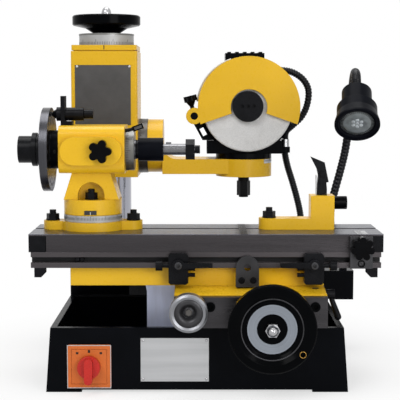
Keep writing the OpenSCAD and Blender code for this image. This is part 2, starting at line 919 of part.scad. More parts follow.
// Trip stop on the table's front slot: side is +1 where the trip pins point along +X
module trip_stop(x, side) {
    y = table_front - stop_t;
    z = upper_z - stop_h - gap;
    pin_x = side > 0 ? x + stop_w - over : x - stop_pin_l + over;
    head_x = side > 0 ? x - stop_neck_l - stop_head_l : x + stop_w + stop_neck_l;
    neck_x = side > 0 ? x - stop_neck_l - over : x + stop_w - over;
    pin_y = table_front - stop_head_d / 2 - gap;
    color("#1d1e23") difference() {
        union() {
            along_y(y, stop_t) translate([x, z]) polygon([[0, bevel], [bevel, 0], [stop_w - bevel, 0],
                [stop_w, bevel], [stop_w, stop_h - bevel], [stop_w - bevel, stop_h], [bevel, stop_h],
                [0, stop_h - bevel]]);
            rod_x(stop_pin_d, neck_x, stop_neck_l + 2 * over, pin_y, z + stop_h * stop_head_share);
            rod_x(stop_head_d, head_x, stop_head_l, pin_y, z + stop_h * stop_head_share);
            for (share = stop_pin_shares) rod_x(stop_pin_d, pin_x, stop_pin_l, pin_y, z + stop_h * share);
            block(x + stop_w / 4, table_front - over, front_slot_z - front_slot_w / 2 + gap, stop_w / 2,
                front_slot_d / 2, front_slot_w - 2 * gap);
        }
        rod_y(stop_pin_d + 2 * run, y - over, stop_t + over, x + stop_w / 2, upper_z - stop_boss_d);
    }
}

// Clamp lever of a trip stop: a boss with an arm along X
module trip_lever(x, side) {
    y = table_front - stop_t - gap;
    z = upper_z - stop_boss_d;
    color("#22242a") {
        rod_y(stop_boss_d, y - stop_boss_l, stop_boss_l, x, z);
        rod_y(stop_pin_d, y - over, stop_t / 2, x, z);
        along_y(y - stop_boss_l, stop_lever_t) translate([x, z]) rotate(side > 0 ? 0 : 180)
            polygon([[0, -stop_lever_w / 2], [stop_lever_l, -stop_lever_w / 3],
                [stop_lever_l, stop_lever_w / 3],
                [0, stop_lever_w / 2]]);
    }
}

module left_stop() trip_stop(left_stop_x, 1);
module left_lever() trip_lever(left_stop_x + stop_w / 2, 1);
module right_stop() trip_stop(right_stop_x, -1);
module right_lever() trip_lever(right_stop_x + stop_w / 2, -1);

module workhead_flange() {
    color("#deb531") difference() {
        union() {
            translate([work_x, work_y, top_z]) linear_extrude(flange_t) {
                circle(d = flange_d);
                stadium(flange_l, flange_w);
            }
            translate([work_x, work_y, top_z]) cylinder(d = ring_d, h = flange_t + ring_h - gap, $fn = 72);
        }
        for (s = [-1, 1]) translate([work_x + s * bolt_x, work_y, top_z - over])
            cylinder(d = bolt_d + 2 * gap, h = flange_t + 2 * over);
        translate([work_x, work_y, top_z - over])
            cylinder(d = post_d + 2 * run, h = flange_t + ring_h + 2 * over);
    }
}

module tee_bolts() {
    z = top_z - slot_deep + gap;
    color("#b5b6ba") for (x = [work_x - bolt_x, work_x + bolt_x, rest_bolt_x]) {
        seat = x == rest_bolt_x ? top_z + rest_foot_t : flange_z;
        translate([x, work_y, z]) cylinder(d = bolt_d, h = seat + bolt_h / 2 - z);
        translate([x - tee_w / 2 + gap, work_y - tee_w / 2 + gap, z])
            cube([tee_w - 2 * gap, tee_w - 2 * gap, tee_h - 2 * gap]);
        translate([x, work_y, seat]) {
            cylinder(d = washer_d, h = washer_t);
            translate([0, 0, washer_t]) cylinder(d = bolt_af / cos(30), h = nut_h, $fn = 6);
        }
    }
}

module workhead_body() {
    y0 = work_y - frame_t / 2;
    knob_y = work_y - body_d / 2 - front_boss_t;
    color("#deb531") difference() {
        union() {
            translate([work_x, work_y, swivel_z]) cylinder(d = ring_d, h = swivel_h, $fn = 72);
            translate([work_x, work_y, top_z + gap]) cylinder(d = post_d, h = swivel_z - top_z);
            along_y(y0, frame_t) translate([work_x, 0]) polygon([[-frame_foot / 2, frame_z],
                [frame_foot / 2, frame_z], [frame_top / 2, body_z + over], [-frame_top / 2, body_z + over]]);
            along_x(body_x0, head_l) translate([work_y, body_z + body_h / 2])
                soft_rect(body_d, body_h, body_round);
            along_y(knob_y, front_boss_t + body_round) translate([body_x0 + head_l / 2, spindle_z])
                stadium(front_boss_w, front_boss_h);
        }
        rod_x(spindle_d + 2 * run, body_x0 - over, head_l + 2 * over, work_y, spindle_z);
        along_y(y0 - over, arch_d + over) translate([work_x, frame_z + over]) {
            square([arch_w, frame_h / 4], center = true);
            translate([0, frame_h / 8]) circle(d = arch_w);
        }
        rod_y(star_stem_d + 2 * run, knob_y - over, body_d / 4, star_x, star_z);
    }
}

module workhead_spindle() {
    nose_x = body_x1 + sp_dial_l + gap;
    black_x = nose_x + nose_l;
    arbor_x = black_x + black_l;
    tail = body_x0 - sleeve_l - disc_t - collar_l - gap;
    color("#b9babd") {
        rod_x(spindle_d, tail, nose_x - tail + over, work_y, spindle_z);
        rod_x(nose_d, nose_x, nose_l, work_y, spindle_z);
        rod_x(black_d, black_x, black_l, work_y, spindle_z);
        rod_x(arbor_d, arbor_x, arbor_l + arbor_nut_l, work_y, spindle_z);
        rod_x(arbor_end_d, arbor_x + arbor_l, arbor_nut_l + arbor_end_l, work_y, spindle_z);
        block(arbor_x + arbor_end_l / 2, work_y - arbor_d / 8, spindle_z, arbor_end_l, arbor_d / 4,
            arbor_d * key_share);
    }
}

module index_disc() {
    x = body_x0 - gap - sleeve_l;
    color("#b4b5b8") difference() {
        union() {
            rod_x(index_d, x - disc_t, disc_t, work_y, spindle_z);
            rod_x(sleeve_d, x - over, sleeve_l + over, work_y, spindle_z);
        }
        rod_x(spindle_d + 2 * run, x - disc_t - over, disc_t + sleeve_l + 2 * over, work_y, spindle_z);
        for (i = [0 : index_n - 1]) translate([0, work_y, spindle_z]) rotate([i * 360 / index_n, 0, 0])
            rod_x(index_hole_d, x - disc_t / 2, disc_t, 0, index_d / 2 * index_hole_share, $fn = 16);
    }
}

module collar_knob() {
    x = body_x0 - gap - sleeve_l - disc_t - collar_l;
    groove = collar_l / 5;
    color("#26282d") difference() {
        union() {
            rod_x(collar_d, x, collar_l - gap, work_y, spindle_z);
            rod_x(collar_knob_d, x - collar_knob_l, collar_knob_l + over, work_y, spindle_z);
        }
        rod_x(spindle_d + 2 * run, x - gap, collar_l + over, work_y, spindle_z);
        difference() {
            rod_x(collar_d + over, x + groove * 2, groove, work_y, spindle_z);
            rod_x(collar_d - groove, x + groove, 3 * groove, work_y, spindle_z);
        }
    }
}

module spindle_dial() {
    color("#a9aaae") difference() {
        rod_x(sp_dial_d, body_x1 + gap, sp_dial_l - gap, work_y, spindle_z);
        rod_x(spindle_d + 2 * run, body_x1 - over, sp_dial_l + 2 * over, work_y, spindle_z);
    }
}

module arbor_nut() {
    x = body_x1 + sp_dial_l + gap + nose_l + black_l + arbor_l;
    color("#8d8e92") difference() {
        rod_x(arbor_nut_af / cos(30), x, arbor_nut_l, work_y, spindle_z, $fn = 6);
        rod_x(arbor_d + 2 * run, x - over, arbor_nut_l + 2 * over, work_y, spindle_z);
    }
}

module index_bracket() {
    top = body_z + body_h;
    color("#2a2c31") difference() {
        union() {
            block(ear_x, work_y - ear_w / 2, top, ear_t, ear_w, ear_h);
            block(ear_x, work_y - ear_w / 2, top, ear_foot, ear_w, ear_t);
            rod_x(barrel_d, ear_x, barrel_l, work_y, pin_z);
            rod_x(knurl_d, ear_x - knurl_l, knurl_l + over, work_y, pin_z);
            translate([ear_x - knurl_l, work_y, pin_z]) rotate([0, -90, 0])
                cylinder(d1 = knurl_d * nib_share, d2 = pin_d * nib_tip_share, h = nib_l);
        }
        rod_x(pin_d + 2 * run, ear_x - knurl_l - nib_l - over, barrel_l + knurl_l + nib_l + 2 * over, work_y,
            pin_z);
    }
}

module index_pin() {
    tip = body_x0 - gap - sleeve_l + pin_tip_gap;
    color("#6f7075") {
        rod_x(pin_d, tip, ear_x + barrel_l + over - tip, work_y, pin_z);
        rod_x(pin_rear_d, ear_x + barrel_l + gap, pin_rear_l, work_y, pin_z);
    }
}

module workhead_knob() {
    y = work_y - body_d / 2 - front_boss_t - gap;
    color("#1a1b20") {
        star(star_d, star_l, y, star_x, star_z, 5, five_share, 0);
        rod_y(star_stem_d, y - over, body_d / 8, star_x, star_z);
    }
}

module tooth_bracket() {
    x1 = rest_x0 + rest_l;
    y0 = work_y - rest_w / 2;
    slot_x = x1 - rest_post_w / 2;
    color("#dcb32f") difference() {
        union() {
            translate([0, 0, top_z]) linear_extrude(rest_foot_t) {
                translate([rest_x0 + rest_w / 2, work_y]) circle(d = rest_w);
                translate([rest_x0 + rest_w / 2, y0]) square([rest_l - rest_w / 2, rest_w]);
            }
            block(x1 - rest_post_w, y0, top_z, rest_post_w, rest_w, rest_post_h);
        }
        translate([rest_bolt_x, work_y, top_z - over])
            cylinder(d = bolt_d + 2 * gap, h = rest_foot_t + 2 * over);
        block(slot_x - holder_w / 2 - gap, work_y - holder_t / 2 - gap, top_z + rest_foot_t / 2,
            holder_w + 2 * gap, holder_t + 2 * gap, rest_post_h);
        rod_x(rest_stud_d + 2 * run, slot_x, rest_post_w, work_y, rest_knob_z);
    }
}

module tooth_holder() {
    x = rest_x0 + rest_l - rest_post_w / 2;
    z = top_z + rest_foot_t / 2 + holder_room;
    color("#8a8b90") difference() {
        along_y(work_y - holder_t / 2, holder_t) translate([x, z]) polygon([[-holder_w / 2, 0],
            [holder_w / 2, 0], [holder_w / 2, holder_h * holder_share], [holder_tip_w / 2, holder_h],
            [-holder_tip_w / 2, holder_h], [-holder_w / 2, holder_h * holder_share]]);
        rod_y(rest_stud_d / 2 + 2 * run, work_y - holder_t, 2 * holder_t, x, z + holder_h - holder_tip_w);
    }
}

module tooth_blade() {
    x = rest_x0 + rest_l - rest_post_w / 2;
    z = top_z + rest_foot_t / 2 + holder_room + holder_h - holder_tip_w;
    y = work_y - holder_t / 2 - gap - blade_t;
    color("#9fa0a4") {
        along_y(y, blade_t) translate([x, z]) rotate(blade_lean) polygon([[-blade_w / 2, -blade_w],
            [blade_w / 2, -blade_w], [blade_w / 2, blade_h * blade_side_share],
            [-blade_w * blade_tip_share, blade_h],
            [-blade_w / 2, blade_h / 3]]);
        rod_y(rest_stud_d / 2, y - blade_t, holder_t / 2 + 2 * blade_t, x, z);
        rod_y(rest_stud_d, y - blade_t, blade_t, x, z);
    }
}

module tooth_knob() {
    x = rest_x0 + rest_l + gap;
    stud = rest_post_w / 2 - holder_w / 2 - 2 * gap;
    color("#1c1d22") {
        rod_x(rest_knob_d, x, rest_knob_l, work_y, rest_knob_z);
        rod_x(rest_stud_d, x - stud, stud + over, work_y, rest_knob_z);
    }
}

module column() {
    inner = column_d - 2 * column_wall;
    color("#c6c9d0") {
        difference() {
            union() {
                translate([column_x, column_y, rear_h])
                    cylinder(d = column_d, h = column_top - rear_h, $fn = 72);
                translate([column_x, column_y, rear_h])
                    cylinder(d = column_foot_d, h = column_foot_h, $fn = 72);
            }
            translate([column_x, column_y, rear_h - over])
                cylinder(d = inner, h = column_top - lift_nut_t - rear_h + over);
            translate([column_x, column_y, rear_h]) cylinder(d = lift_d + 2 * run, h = column_top);
        }
    }
}

module elevating_box() {
    color("#dcb22e") difference() {
        translate([column_x, column_y, box_z]) linear_extrude(box_h) soft_rect(box_w, box_d, bevel);
        translate([column_x, column_y, box_z - over])
            cylinder(d = column_d + 2 * run, h = box_h - box_roof + over, $fn = 72);
        translate([column_x, column_y, box_z]) cylinder(d = lift_d + 2 * run, h = box_h + over);
        rod_x(trunnion_d, box_x1 - (box_w - column_d) / 4, box_w, column_y, arm_z);
    }
}

module box_cover() {
    color("#dcb22e") difference() {
        translate([column_x, column_y, box_top]) {
            linear_extrude(cover_t) soft_rect(box_w - 4 * cover_step, box_d - 4 * cover_step, bevel);
            translate([0, 0, cover_seam]) linear_extrude(cover_t - cover_seam)
                soft_rect(box_w - cover_step, box_d - cover_step, bevel);
        }
        translate([column_x, column_y, box_top - over])
            cylinder(d = lift_d + 2 * run, h = cover_t + 2 * over);
    }
}

module elevating_screw() {
    top = top_rim_z + rim_t - hub_recess;
    color("#c9cacd") translate([column_x, column_y, 0]) {
        translate([0, 0, top - lift_l - (top - box_top)]) cylinder(d = lift_d, h = lift_l + top - box_top);
        translate([0, 0, box_top + cover_t + gap]) cylinder(d = ring_top_d, h = ring_top_h - gap, $fn = 72);
        translate([0, 0, top]) acorn();
    }
}

module top_handwheel() {
    room = top_rim_z + rim_t - hub_recess - box_top - cover_t - ring_top_h - gap;
    color("#17191f") difference() {
        translate([column_x, column_y, top_rim_z + rim_t]) rotate([180, 0, 0]) rotate_extrude($fn = 72)
            wheel_profile(top_wheel_d, lift_d / 2 + run);
        translate([column_x, column_y, top_rim_z + rim_t - hub_recess - room - hub_l])
            cylinder(d = top_wheel_d, h = hub_l);
        translate([column_x + top_wheel_d / 2 * grip_share, column_y, top_rim_z + rim_t / 2])
            cylinder(d = grip_hole_d, h = rim_t);
    }
}

module arm_flange() {
    color("#a9aaae") difference() {
        rod_x(arm_flange_d, box_x1, arm_flange_t, column_y, arm_z);
        rod_x(trunnion_d + 2 * run, box_x1 - over, arm_flange_t + 2 * over, column_y, arm_z);
    }
}

module arm() {
    root_end = root_x + arm_root_t;
    bottom = arm_top - arm_t;
    reach = arm_x - root_end;
    color("#dcb32f") difference() {
        union() {
            rod_x(arm_root_d, root_x, arm_root_t, column_y, arm_z);
            rod_x(trunnion_d - 2 * run, box_x1 - (box_w - column_d) / 4 + gap, arm_root_t, column_y, arm_z);
            along_y(column_y - arm_w / 2, arm_w) difference() {
                translate([root_end - over, bottom]) square([reach, arm_t + arm_fillet]);
                translate([root_end + arm_fillet, arm_top + arm_fillet]) {
                    circle(arm_fillet);
                    translate([0, -arm_fillet]) square([reach, 2 * arm_fillet]);
                }
            }
            translate([arm_x, column_y, arm_top - arm_boss_h]) cylinder(d = boss_d, h = arm_boss_h, $fn = 72);
        }
        translate([arm_x, column_y, 0]) cylinder(d = clamp_stud_d + 2 * run, h = arm_top + over);
    }
}

module swivel_clamp() {
    z = arm_top - arm_boss_h;
    color("#2a2b2f") translate([arm_x, column_y, 0]) {
        translate([0, 0, z - clamp_washer_t - gap]) cylinder(d = clamp_washer_d, h = clamp_washer_t);
        translate([0, 0, z - clamp_nut_h + clamp_tip_h])
            cylinder(d = clamp_nut_d / cos(30), h = clamp_nut_h - clamp_tip_h - clamp_washer_t, $fn = 6);
        translate([0, 0, z - clamp_nut_h])
            cylinder(d = clamp_stud_d, h = seat_z + seat_h / 2 - z + clamp_nut_h);
    }
}

module motor() {
    lug_d = gland_d + 2 * gland_wall;
    box_x = wheel_axis_x - lid_w / 2 - box_top_w / 2;
    box_bottom = wheel_axis_z + motor_d / 2 - 6 * fin_h;
    fin_in = motor_d / 2 - 3 * fin_h;
    color("#1c1e23") difference() {
        union() {
            translate([arm_x, column_y, seat_z]) cylinder(d = boss_d, h = seat_h + over, $fn = 72);
            block(foot_x, foot_front, foot_z, foot_plate_w, foot_back - foot_front, foot_plate_h);
            translate([gland_x, column_y, foot_z]) cylinder(d = lug_d, h = gland_z - foot_z + gland_wall);
            block(foot_x + foot_plate_w - over, column_y - lug_d / 2, foot_z,
                gland_x - foot_x - foot_plate_w + over,
                lug_d, gland_z - foot_z + gland_wall);
            translate([gland_x, column_y, gland_z]) cylinder(d = gland_d, h = gland_l);
            rod_y(motor_d - 2 * fin_h, motor_y, motor_l, wheel_axis_x, wheel_axis_z);
            for (y = [motor_y, motor_y + motor_l - shield_t])
                rod_y(motor_d, y, shield_t, wheel_axis_x, wheel_axis_z);
            for (i = [0 : fin_n - 1])
                translate([wheel_axis_x, 0, wheel_axis_z]) rotate([0, i * 360 / fin_n, 0])
                block(-fin_t / 2, motor_y + shield_t / 2, fin_in, fin_t, motor_l - shield_t,
                    3 * fin_h - 2 * gap);
            block(box_x, motor_y + shield_t, box_bottom, box_top_w, box_top_l, box_top_z - box_bottom);
            for (i = [0 : lid_n - 1])
                block(box_x + (i + 0.5) * box_top_w / lid_n - lid_w / 2, motor_y + shield_t, box_top_z - over,
                    lid_w, box_top_l, lid_h + over);
        }
        rod_y(spindle_shaft_d + 2 * run, motor_y - over, motor_l * bore_share, wheel_axis_x, wheel_axis_z);
        translate([arm_x, column_y, seat_z - over])
            cylinder(d = clamp_stud_d + 2 * run, h = seat_h / 2 + over + gap);
        translate([gland_x, column_y, foot_z - over]) cylinder(d = drop_room, h = gland_z - foot_z + over);
        translate([gland_x, column_y, foot_z]) cylinder(d = conduit_bore, h = gland_z + gland_l);
    }
}

module motor_spindle() {
    hub_y = wheel_front - hub_t;
    back = motor_y + motor_l * bore_share - shield_t;
    color("#47484d") difference() {
        union() {
            rod_y(spindle_nose_d, hub_y, motor_y - hub_y, wheel_axis_x, wheel_axis_z);
            rod_y(spindle_shaft_d, wheel_front + wheel_t + gap, back - wheel_front - wheel_t, wheel_axis_x,
                wheel_axis_z);
            rod_y(hub_d, hub_y, hub_t - gap, wheel_axis_x, wheel_axis_z);
            rod_y(hub_d, wheel_front + wheel_t + gap, hub_t / 2, wheel_axis_x, wheel_axis_z);
        }
        for (s = [-1 : 1])
            rod_y(hub_hole_d, hub_y - over, hub_t / 2 + over, wheel_axis_x + s * hub_d * hub_row_share,
                wheel_axis_z);
    }
}

module grinding_wheel() {
    r = wheel_d / 2;
    edge = wheel_t / 12;
    color("#dcdcda") turned_y(wheel_front, wheel_axis_x, wheel_axis_z) polygon([[wheel_bore / 2, 0],
        [r - edge, 0], [r, edge], [r, wheel_t - edge], [r - edge, wheel_t], [wheel_bore / 2, wheel_t]]);
}

// Outline of the guard's covered sector: a disc without the wedge at its foot
module guard_sector(d) {
    reach = d;
    difference() {
        circle(d = d, $fn = 96);
        polygon([[0, 0], reach * [-sin(guard_open / 2), -cos(guard_open / 2)],
            [-reach, -2 * reach], [reach, -2 * reach], reach * [sin(guard_open / 2), -cos(guard_open / 2)]]);
    }
}

module wheel_guard() {
    color("#dfb632") difference() {
        union() {
            along_y(guard_front, guard_t) translate([guard_x, guard_z]) guard_sector(guard_d);
            along_y(guard_front, guard_rim_l) translate([guard_x, guard_z]) difference() {
                guard_sector(guard_d);
                circle(d = guard_d - 2 * guard_t, $fn = 96);
            }
            rod_y(knuckle_d, guard_front, guard_rim_l, wheel_axis_x + knuckle_x, wheel_axis_z + knuckle_z);
        }
        rod_y(guard_hole_d, guard_front - over, guard_t + 2 * over, guard_x, guard_z);
        rod_y(guard_d - 2 * guard_t, guard_front + guard_t, guard_rim_l, guard_x, guard_z);
        rod_y(guard_pin_d + 2 * run, guard_front - over, guard_rim_l + 2 * over, wheel_axis_x + knuckle_x,
            wheel_axis_z + knuckle_z);
        translate([wheel_axis_x + knuckle_x, guard_front + guard_rim_l / 2,
        wheel_axis_z + knuckle_z])
            rotate([0, -guard_lean, 0]) cylinder(d = guard_stud_d + 2 * run, h = knuckle_d);
    }
}

module guard_strap() {
    pin = [wheel_axis_x + knuckle_x, wheel_axis_z + knuckle_z];
    toe = [foot_x + strap_w / 2, foot_z + strap_w / 2];
    y = guard_front + guard_rim_l + guard_room;
    way = toe - pin;
    bar_share = 0.86;
    bar_w = strap_w * bar_share;
    color("#1d1f25") {
        difference() {
            along_y(y, strap_t) {
                translate(pin) circle(d = strap_w);
                translate(pin) rotate(atan2(way[1], way[0])) translate([0, -bar_w / 2])
                    square([norm(way), bar_w]);
            }
            along_y(y - over, strap_t + 2 * over) translate((pin + toe) / 2) rotate(atan2(way[1], way[0]))
                square([norm(way) * strap_slot_share, strap_w * strap_wide_share], center = true);
            block(foot_x - 2 * strap_w, foot_front, foot_z - gap, foot_plate_w, foot_plate_d,
                foot_plate_h + 2 * gap);
        }
        rod_y(guard_pin_d, guard_front, y - guard_front + strap_t / 2, pin[0], pin[1]);
    }
}

module guard_knob() {
    core_share = 0.7;
    place_share = 0.32;
    lobe_share = 0.36;
    color("#1a1b20") translate([wheel_axis_x + knuckle_x, guard_front + guard_rim_l / 2,
        wheel_axis_z + knuckle_z])
        rotate([0, -guard_lean, 0]) translate([0, 0, guard_pin_d / 2 + gap]) {
            cylinder(d = guard_stud_d, h = guard_stud_l + over);
            translate([0, 0, guard_stud_l - guard_neck_l])
                cylinder(d1 = guard_stud_d + over, d2 = guard_knob_d * core_share, h = guard_neck_l);
            translate([0, 0, guard_stud_l - gap]) {
                cylinder(d = guard_knob_d * core_share, h = guard_knob_l);
                for (i = [0 : 4]) rotate(i * 72) translate([guard_knob_d * place_share, 0, 0])
                    cylinder(d = guard_knob_d * lobe_share, h = guard_knob_l);
            }
        }
}

module conduit_loop() {
    color("#17181c") ribbed(loop_route, loop_ribs, conduit_d, conduit_root_d, conduit_bore, [0, 1, 0]);
}

module conduit_drop() {
    color("#17181c") ribbed(drop_route, drop_ribs, conduit_d, conduit_root_d, conduit_bore, [0, 1, 0]);
}

module lamp_stand() {
    x0 = base_top_w / 2;
    color("#23252d") along_y(lamp_y - lamp_foot_d / 2, lamp_foot_d) polygon([[x0, tray_h + gap],
        [lamp_x - lamp_foot_w / 2 + lamp_lug_t, lamp_foot_z], [lamp_x + lamp_foot_w / 3, lamp_foot_z],
        [lamp_x + lamp_foot_top / 2, lamp_foot_z + lamp_foot_h],
        [x0, lamp_foot_z + lamp_foot_h]]);
}

module gooseneck() {
    color("#1b1c20") ribbed(neck_route, neck_ribs, neck_d, neck_root_d, neck_bore, [1, 0, 0]);
}

module lamp_head() {
    r = lamp_ring_d / 2;
    cap = lamp_cap_d / 2;
    inner = lamp_shell;
    flare = lamp_pan_l / 2;
    socket_l = lamp_l * socket_share;
    color("#1b1d22") translate(lamp_pos) rotate([-lamp_tilt, 0, 0]) rotate([0, lamp_yaw, 0]) rotate_extrude()
        polygon([[0, socket_l], [lamp_rear_d / 2 - inner, lamp_pan_l + inner], [r - inner, -inner],
            [r, -inner], [r, 0], [lamp_mid_d / 2, flare], [lamp_mid_d / 2, lamp_pan_l],
            [lamp_rear_d / 2, lamp_pan_l + inner], [lamp_rear_d / 2, lamp_pan_l + lamp_step_l],
            [cap * lamp_neck_share, lamp_pan_l + lamp_step_l + inner], [cap, lamp_l - cap / 2],
            [cap / 2, lamp_l], [0, lamp_l]]);
    color("#e8e6df") translate(lamp_pos) rotate([-lamp_tilt, 0, 0]) rotate([0, lamp_yaw, 0]) rotate_extrude()
        polygon([[0, inner - gap], [bulb_d / 2, inner], [lamp_rear_d / 3, lamp_pan_l], [0, socket_l - gap]]);
}

base();
cross_way();
cross_nut();
switch_plate();
switch_knob();
saddle();
saddle_gibs();
front_plate();
socket_screws();
centre_bracket();
saddle_lever();
cross_knob();
traverse_shaft();
front_handwheel();
idler_gear();
lower_table();
table_rack();
swivel_table();
end_blocks();
clamp_plate();
table_knob();
end_stops();
left_stop();
left_lever();
right_stop();
right_lever();
workhead_flange();
tee_bolts();
workhead_body();
workhead_spindle();
index_disc();
collar_knob();
spindle_dial();
arbor_nut();
index_bracket();
index_pin();
workhead_knob();
tooth_bracket();
tooth_holder();
tooth_blade();
tooth_knob();
column();
elevating_box();
box_cover();
elevating_screw();
top_handwheel();
arm_flange();
arm();
swivel_clamp();
motor();
motor_spindle();
grinding_wheel();
wheel_guard();
guard_strap();
guard_knob();
conduit_loop();
conduit_drop();
lamp_stand();
gooseneck();
lamp_head();
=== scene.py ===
import math

import bpy
from mathutils import Matrix, Vector


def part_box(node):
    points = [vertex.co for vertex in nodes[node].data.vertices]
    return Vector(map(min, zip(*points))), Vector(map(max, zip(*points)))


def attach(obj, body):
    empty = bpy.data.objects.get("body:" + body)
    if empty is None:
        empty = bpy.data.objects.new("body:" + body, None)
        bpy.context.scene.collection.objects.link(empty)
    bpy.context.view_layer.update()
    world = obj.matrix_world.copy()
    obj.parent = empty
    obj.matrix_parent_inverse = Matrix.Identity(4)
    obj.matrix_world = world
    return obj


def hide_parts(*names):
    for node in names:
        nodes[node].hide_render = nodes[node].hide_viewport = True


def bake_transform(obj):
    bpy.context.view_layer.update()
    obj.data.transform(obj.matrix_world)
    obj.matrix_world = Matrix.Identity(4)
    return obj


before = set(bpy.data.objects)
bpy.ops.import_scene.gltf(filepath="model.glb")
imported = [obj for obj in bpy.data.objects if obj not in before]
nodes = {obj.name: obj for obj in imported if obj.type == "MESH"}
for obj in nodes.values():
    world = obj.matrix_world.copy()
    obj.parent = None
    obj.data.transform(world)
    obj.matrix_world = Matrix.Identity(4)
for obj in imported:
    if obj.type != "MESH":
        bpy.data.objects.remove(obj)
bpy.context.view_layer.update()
scene = bpy.context.scene
MM = 0.001

# Places of the CAD nodes, in millimetres


def low(name):
    """Low corner of a CAD node's box, to a tenth of a millimetre."""
    return [round(c / MM, 1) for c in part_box(name)[0]]


def high(name):
    """High corner of the box, in the same way."""
    return [round(c / MM, 1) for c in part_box(name)[1]]


def mid(name):
    """Middle of the box, in the same way."""
    return [round((a + b) / 2 / MM, 1) for a, b in zip(*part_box(name))]


RIGHT, BACK, FRONT, UP = (1, 0, 0), (0, 1, 0), (0, -1, 0), (0, 0, 1)

base_front = low("base")[1]
switch_x, _, switch_z = mid("switch_plate")
switch_front = low("switch_plate")[1]
wheel_x, _, wheel_z = mid("front_handwheel")
WHEEL_AT = (wheel_x, low("front_handwheel")[1], wheel_z)
cup_x, _, cup_z = mid("cross_knob")
CUP_AT = (cup_x, low("cross_knob")[1], cup_z)
FEED_AXIS = (cup_x, 0, cup_z)
table_top = high("swivel_table")[2]
work_x, work_y, _ = mid("workhead_flange")
WORK_AXIS = (work_x, work_y, 0)
_, spindle_y, spindle_z = mid("index_disc")
SPINDLE_AXIS = (0, spindle_y, spindle_z)
lift_x, lift_y, _ = mid("elevating_screw")
LIFT_AXIS = (lift_x, lift_y, 0)
arm_x, arm_y, _ = mid("swivel_clamp")
ARM_AXIS = (arm_x, arm_y, 0)
_, flange_y, flange_z = mid("arm_flange")
FLANGE_AXIS = (0, flange_y, flange_z)
stone_x, _, stone_z = mid("grinding_wheel")

# Materials

COAT_ROUGH = 0.08
ROUGH_LEAST = 0.02
COARSE_DETAIL, FINE_DETAIL = 5.0, 3.0
FINE_SHARE = 12
NOISE_SPAN = (0.3, 0.7)
SPECK_SPAN = (0.38, 0.52)
# Span of the upward normal over which the painted top light fades in
UPWARD_SPAN = (0.5, 0.9)
RELIEF_DEPTH = 0.0006
EDGE_SAMPLES = 4
WHITE = (1, 1, 1)
# Sockets of a colour mix, which has several of the same name
MIX_A, MIX_B, MIX_OUT = 6, 7, 2


def add(tree, kind, inputs=None, **settings):
    """A new shader node with its own settings and the values of its inputs."""
    node = tree.nodes.new(kind)
    for key, value in settings.items():
        setattr(node, key, value)
    for key, value in (inputs or {}).items():
        node.inputs[key].default_value = value
    return node


def ramp(tree, fac, span, dark, bright):
    """The colour between two others, by a factor."""
    node = tree.nodes.new("ShaderNodeValToRGB")
    for element, position, color in zip(node.color_ramp.elements, span, (dark, bright)):
        element.position = position
        element.color = [*color, 1]
    tree.links.new(fac, node.inputs["Fac"])
    return node.outputs["Color"]


def turned_coords(tree, place, axis, centre):
    """Coordinates for turned work: the distance from an axis and the place along it."""
    link = tree.links.new
    off = add(tree, "ShaderNodeVectorMath", {1: [c * MM for c in centre]}, operation="SUBTRACT")
    link(place.outputs["Object"], off.inputs[0])
    across = [0 if k == axis else 1 for k in range(3)]
    flat = add(tree, "ShaderNodeVectorMath", {1: across}, operation="MULTIPLY")
    link(off.outputs["Vector"], flat.inputs[0])
    length = add(tree, "ShaderNodeVectorMath", operation="LENGTH")
    link(flat.outputs["Vector"], length.inputs[0])
    split = add(tree, "ShaderNodeSeparateXYZ")
    link(off.outputs["Vector"], split.inputs["Vector"])
    join = add(tree, "ShaderNodeCombineXYZ")
    link(length.outputs["Value"], join.inputs["X"])
    link(split.outputs["XYZ"[axis]], join.inputs["Y"])
    return join.outputs["Vector"]


def specked(tree, color, fac, dark):
    """A colour with dark specks, as in bonded abrasive."""
    spots = ramp(tree, fac, SPECK_SPAN, dark, WHITE)
    mix = add(tree, "ShaderNodeMix", {"Factor": 1.0}, data_type="RGBA", blend_type="MULTIPLY")
    tree.links.new(color, mix.inputs[MIX_A])
    tree.links.new(spots, mix.inputs[MIX_B])
    return mix.outputs[MIX_OUT]


def painted_top_light(tree, color, top):
    """Another colour on the faces that look up: painted light, a brighter and bluer sky reflection that
    the sides don't get.
    """
    link = tree.links.new
    facing = add(tree, "ShaderNodeNewGeometry")
    upward = add(tree, "ShaderNodeSeparateXYZ")
    link(facing.outputs["Normal"], upward.inputs["Vector"])
    lift = add(tree, "ShaderNodeMapRange", {"From Min": UPWARD_SPAN[0], "From Max": UPWARD_SPAN[1]})
    link(upward.outputs["Z"], lift.inputs["Value"])
    mix = add(tree, "ShaderNodeMix", data_type="RGBA")
    mix.inputs[MIX_B].default_value = [*top, 1]
    link(lift.outputs["Result"], mix.inputs["Factor"])
    link(color, mix.inputs[MIX_A])
    return mix.outputs[MIX_OUT]


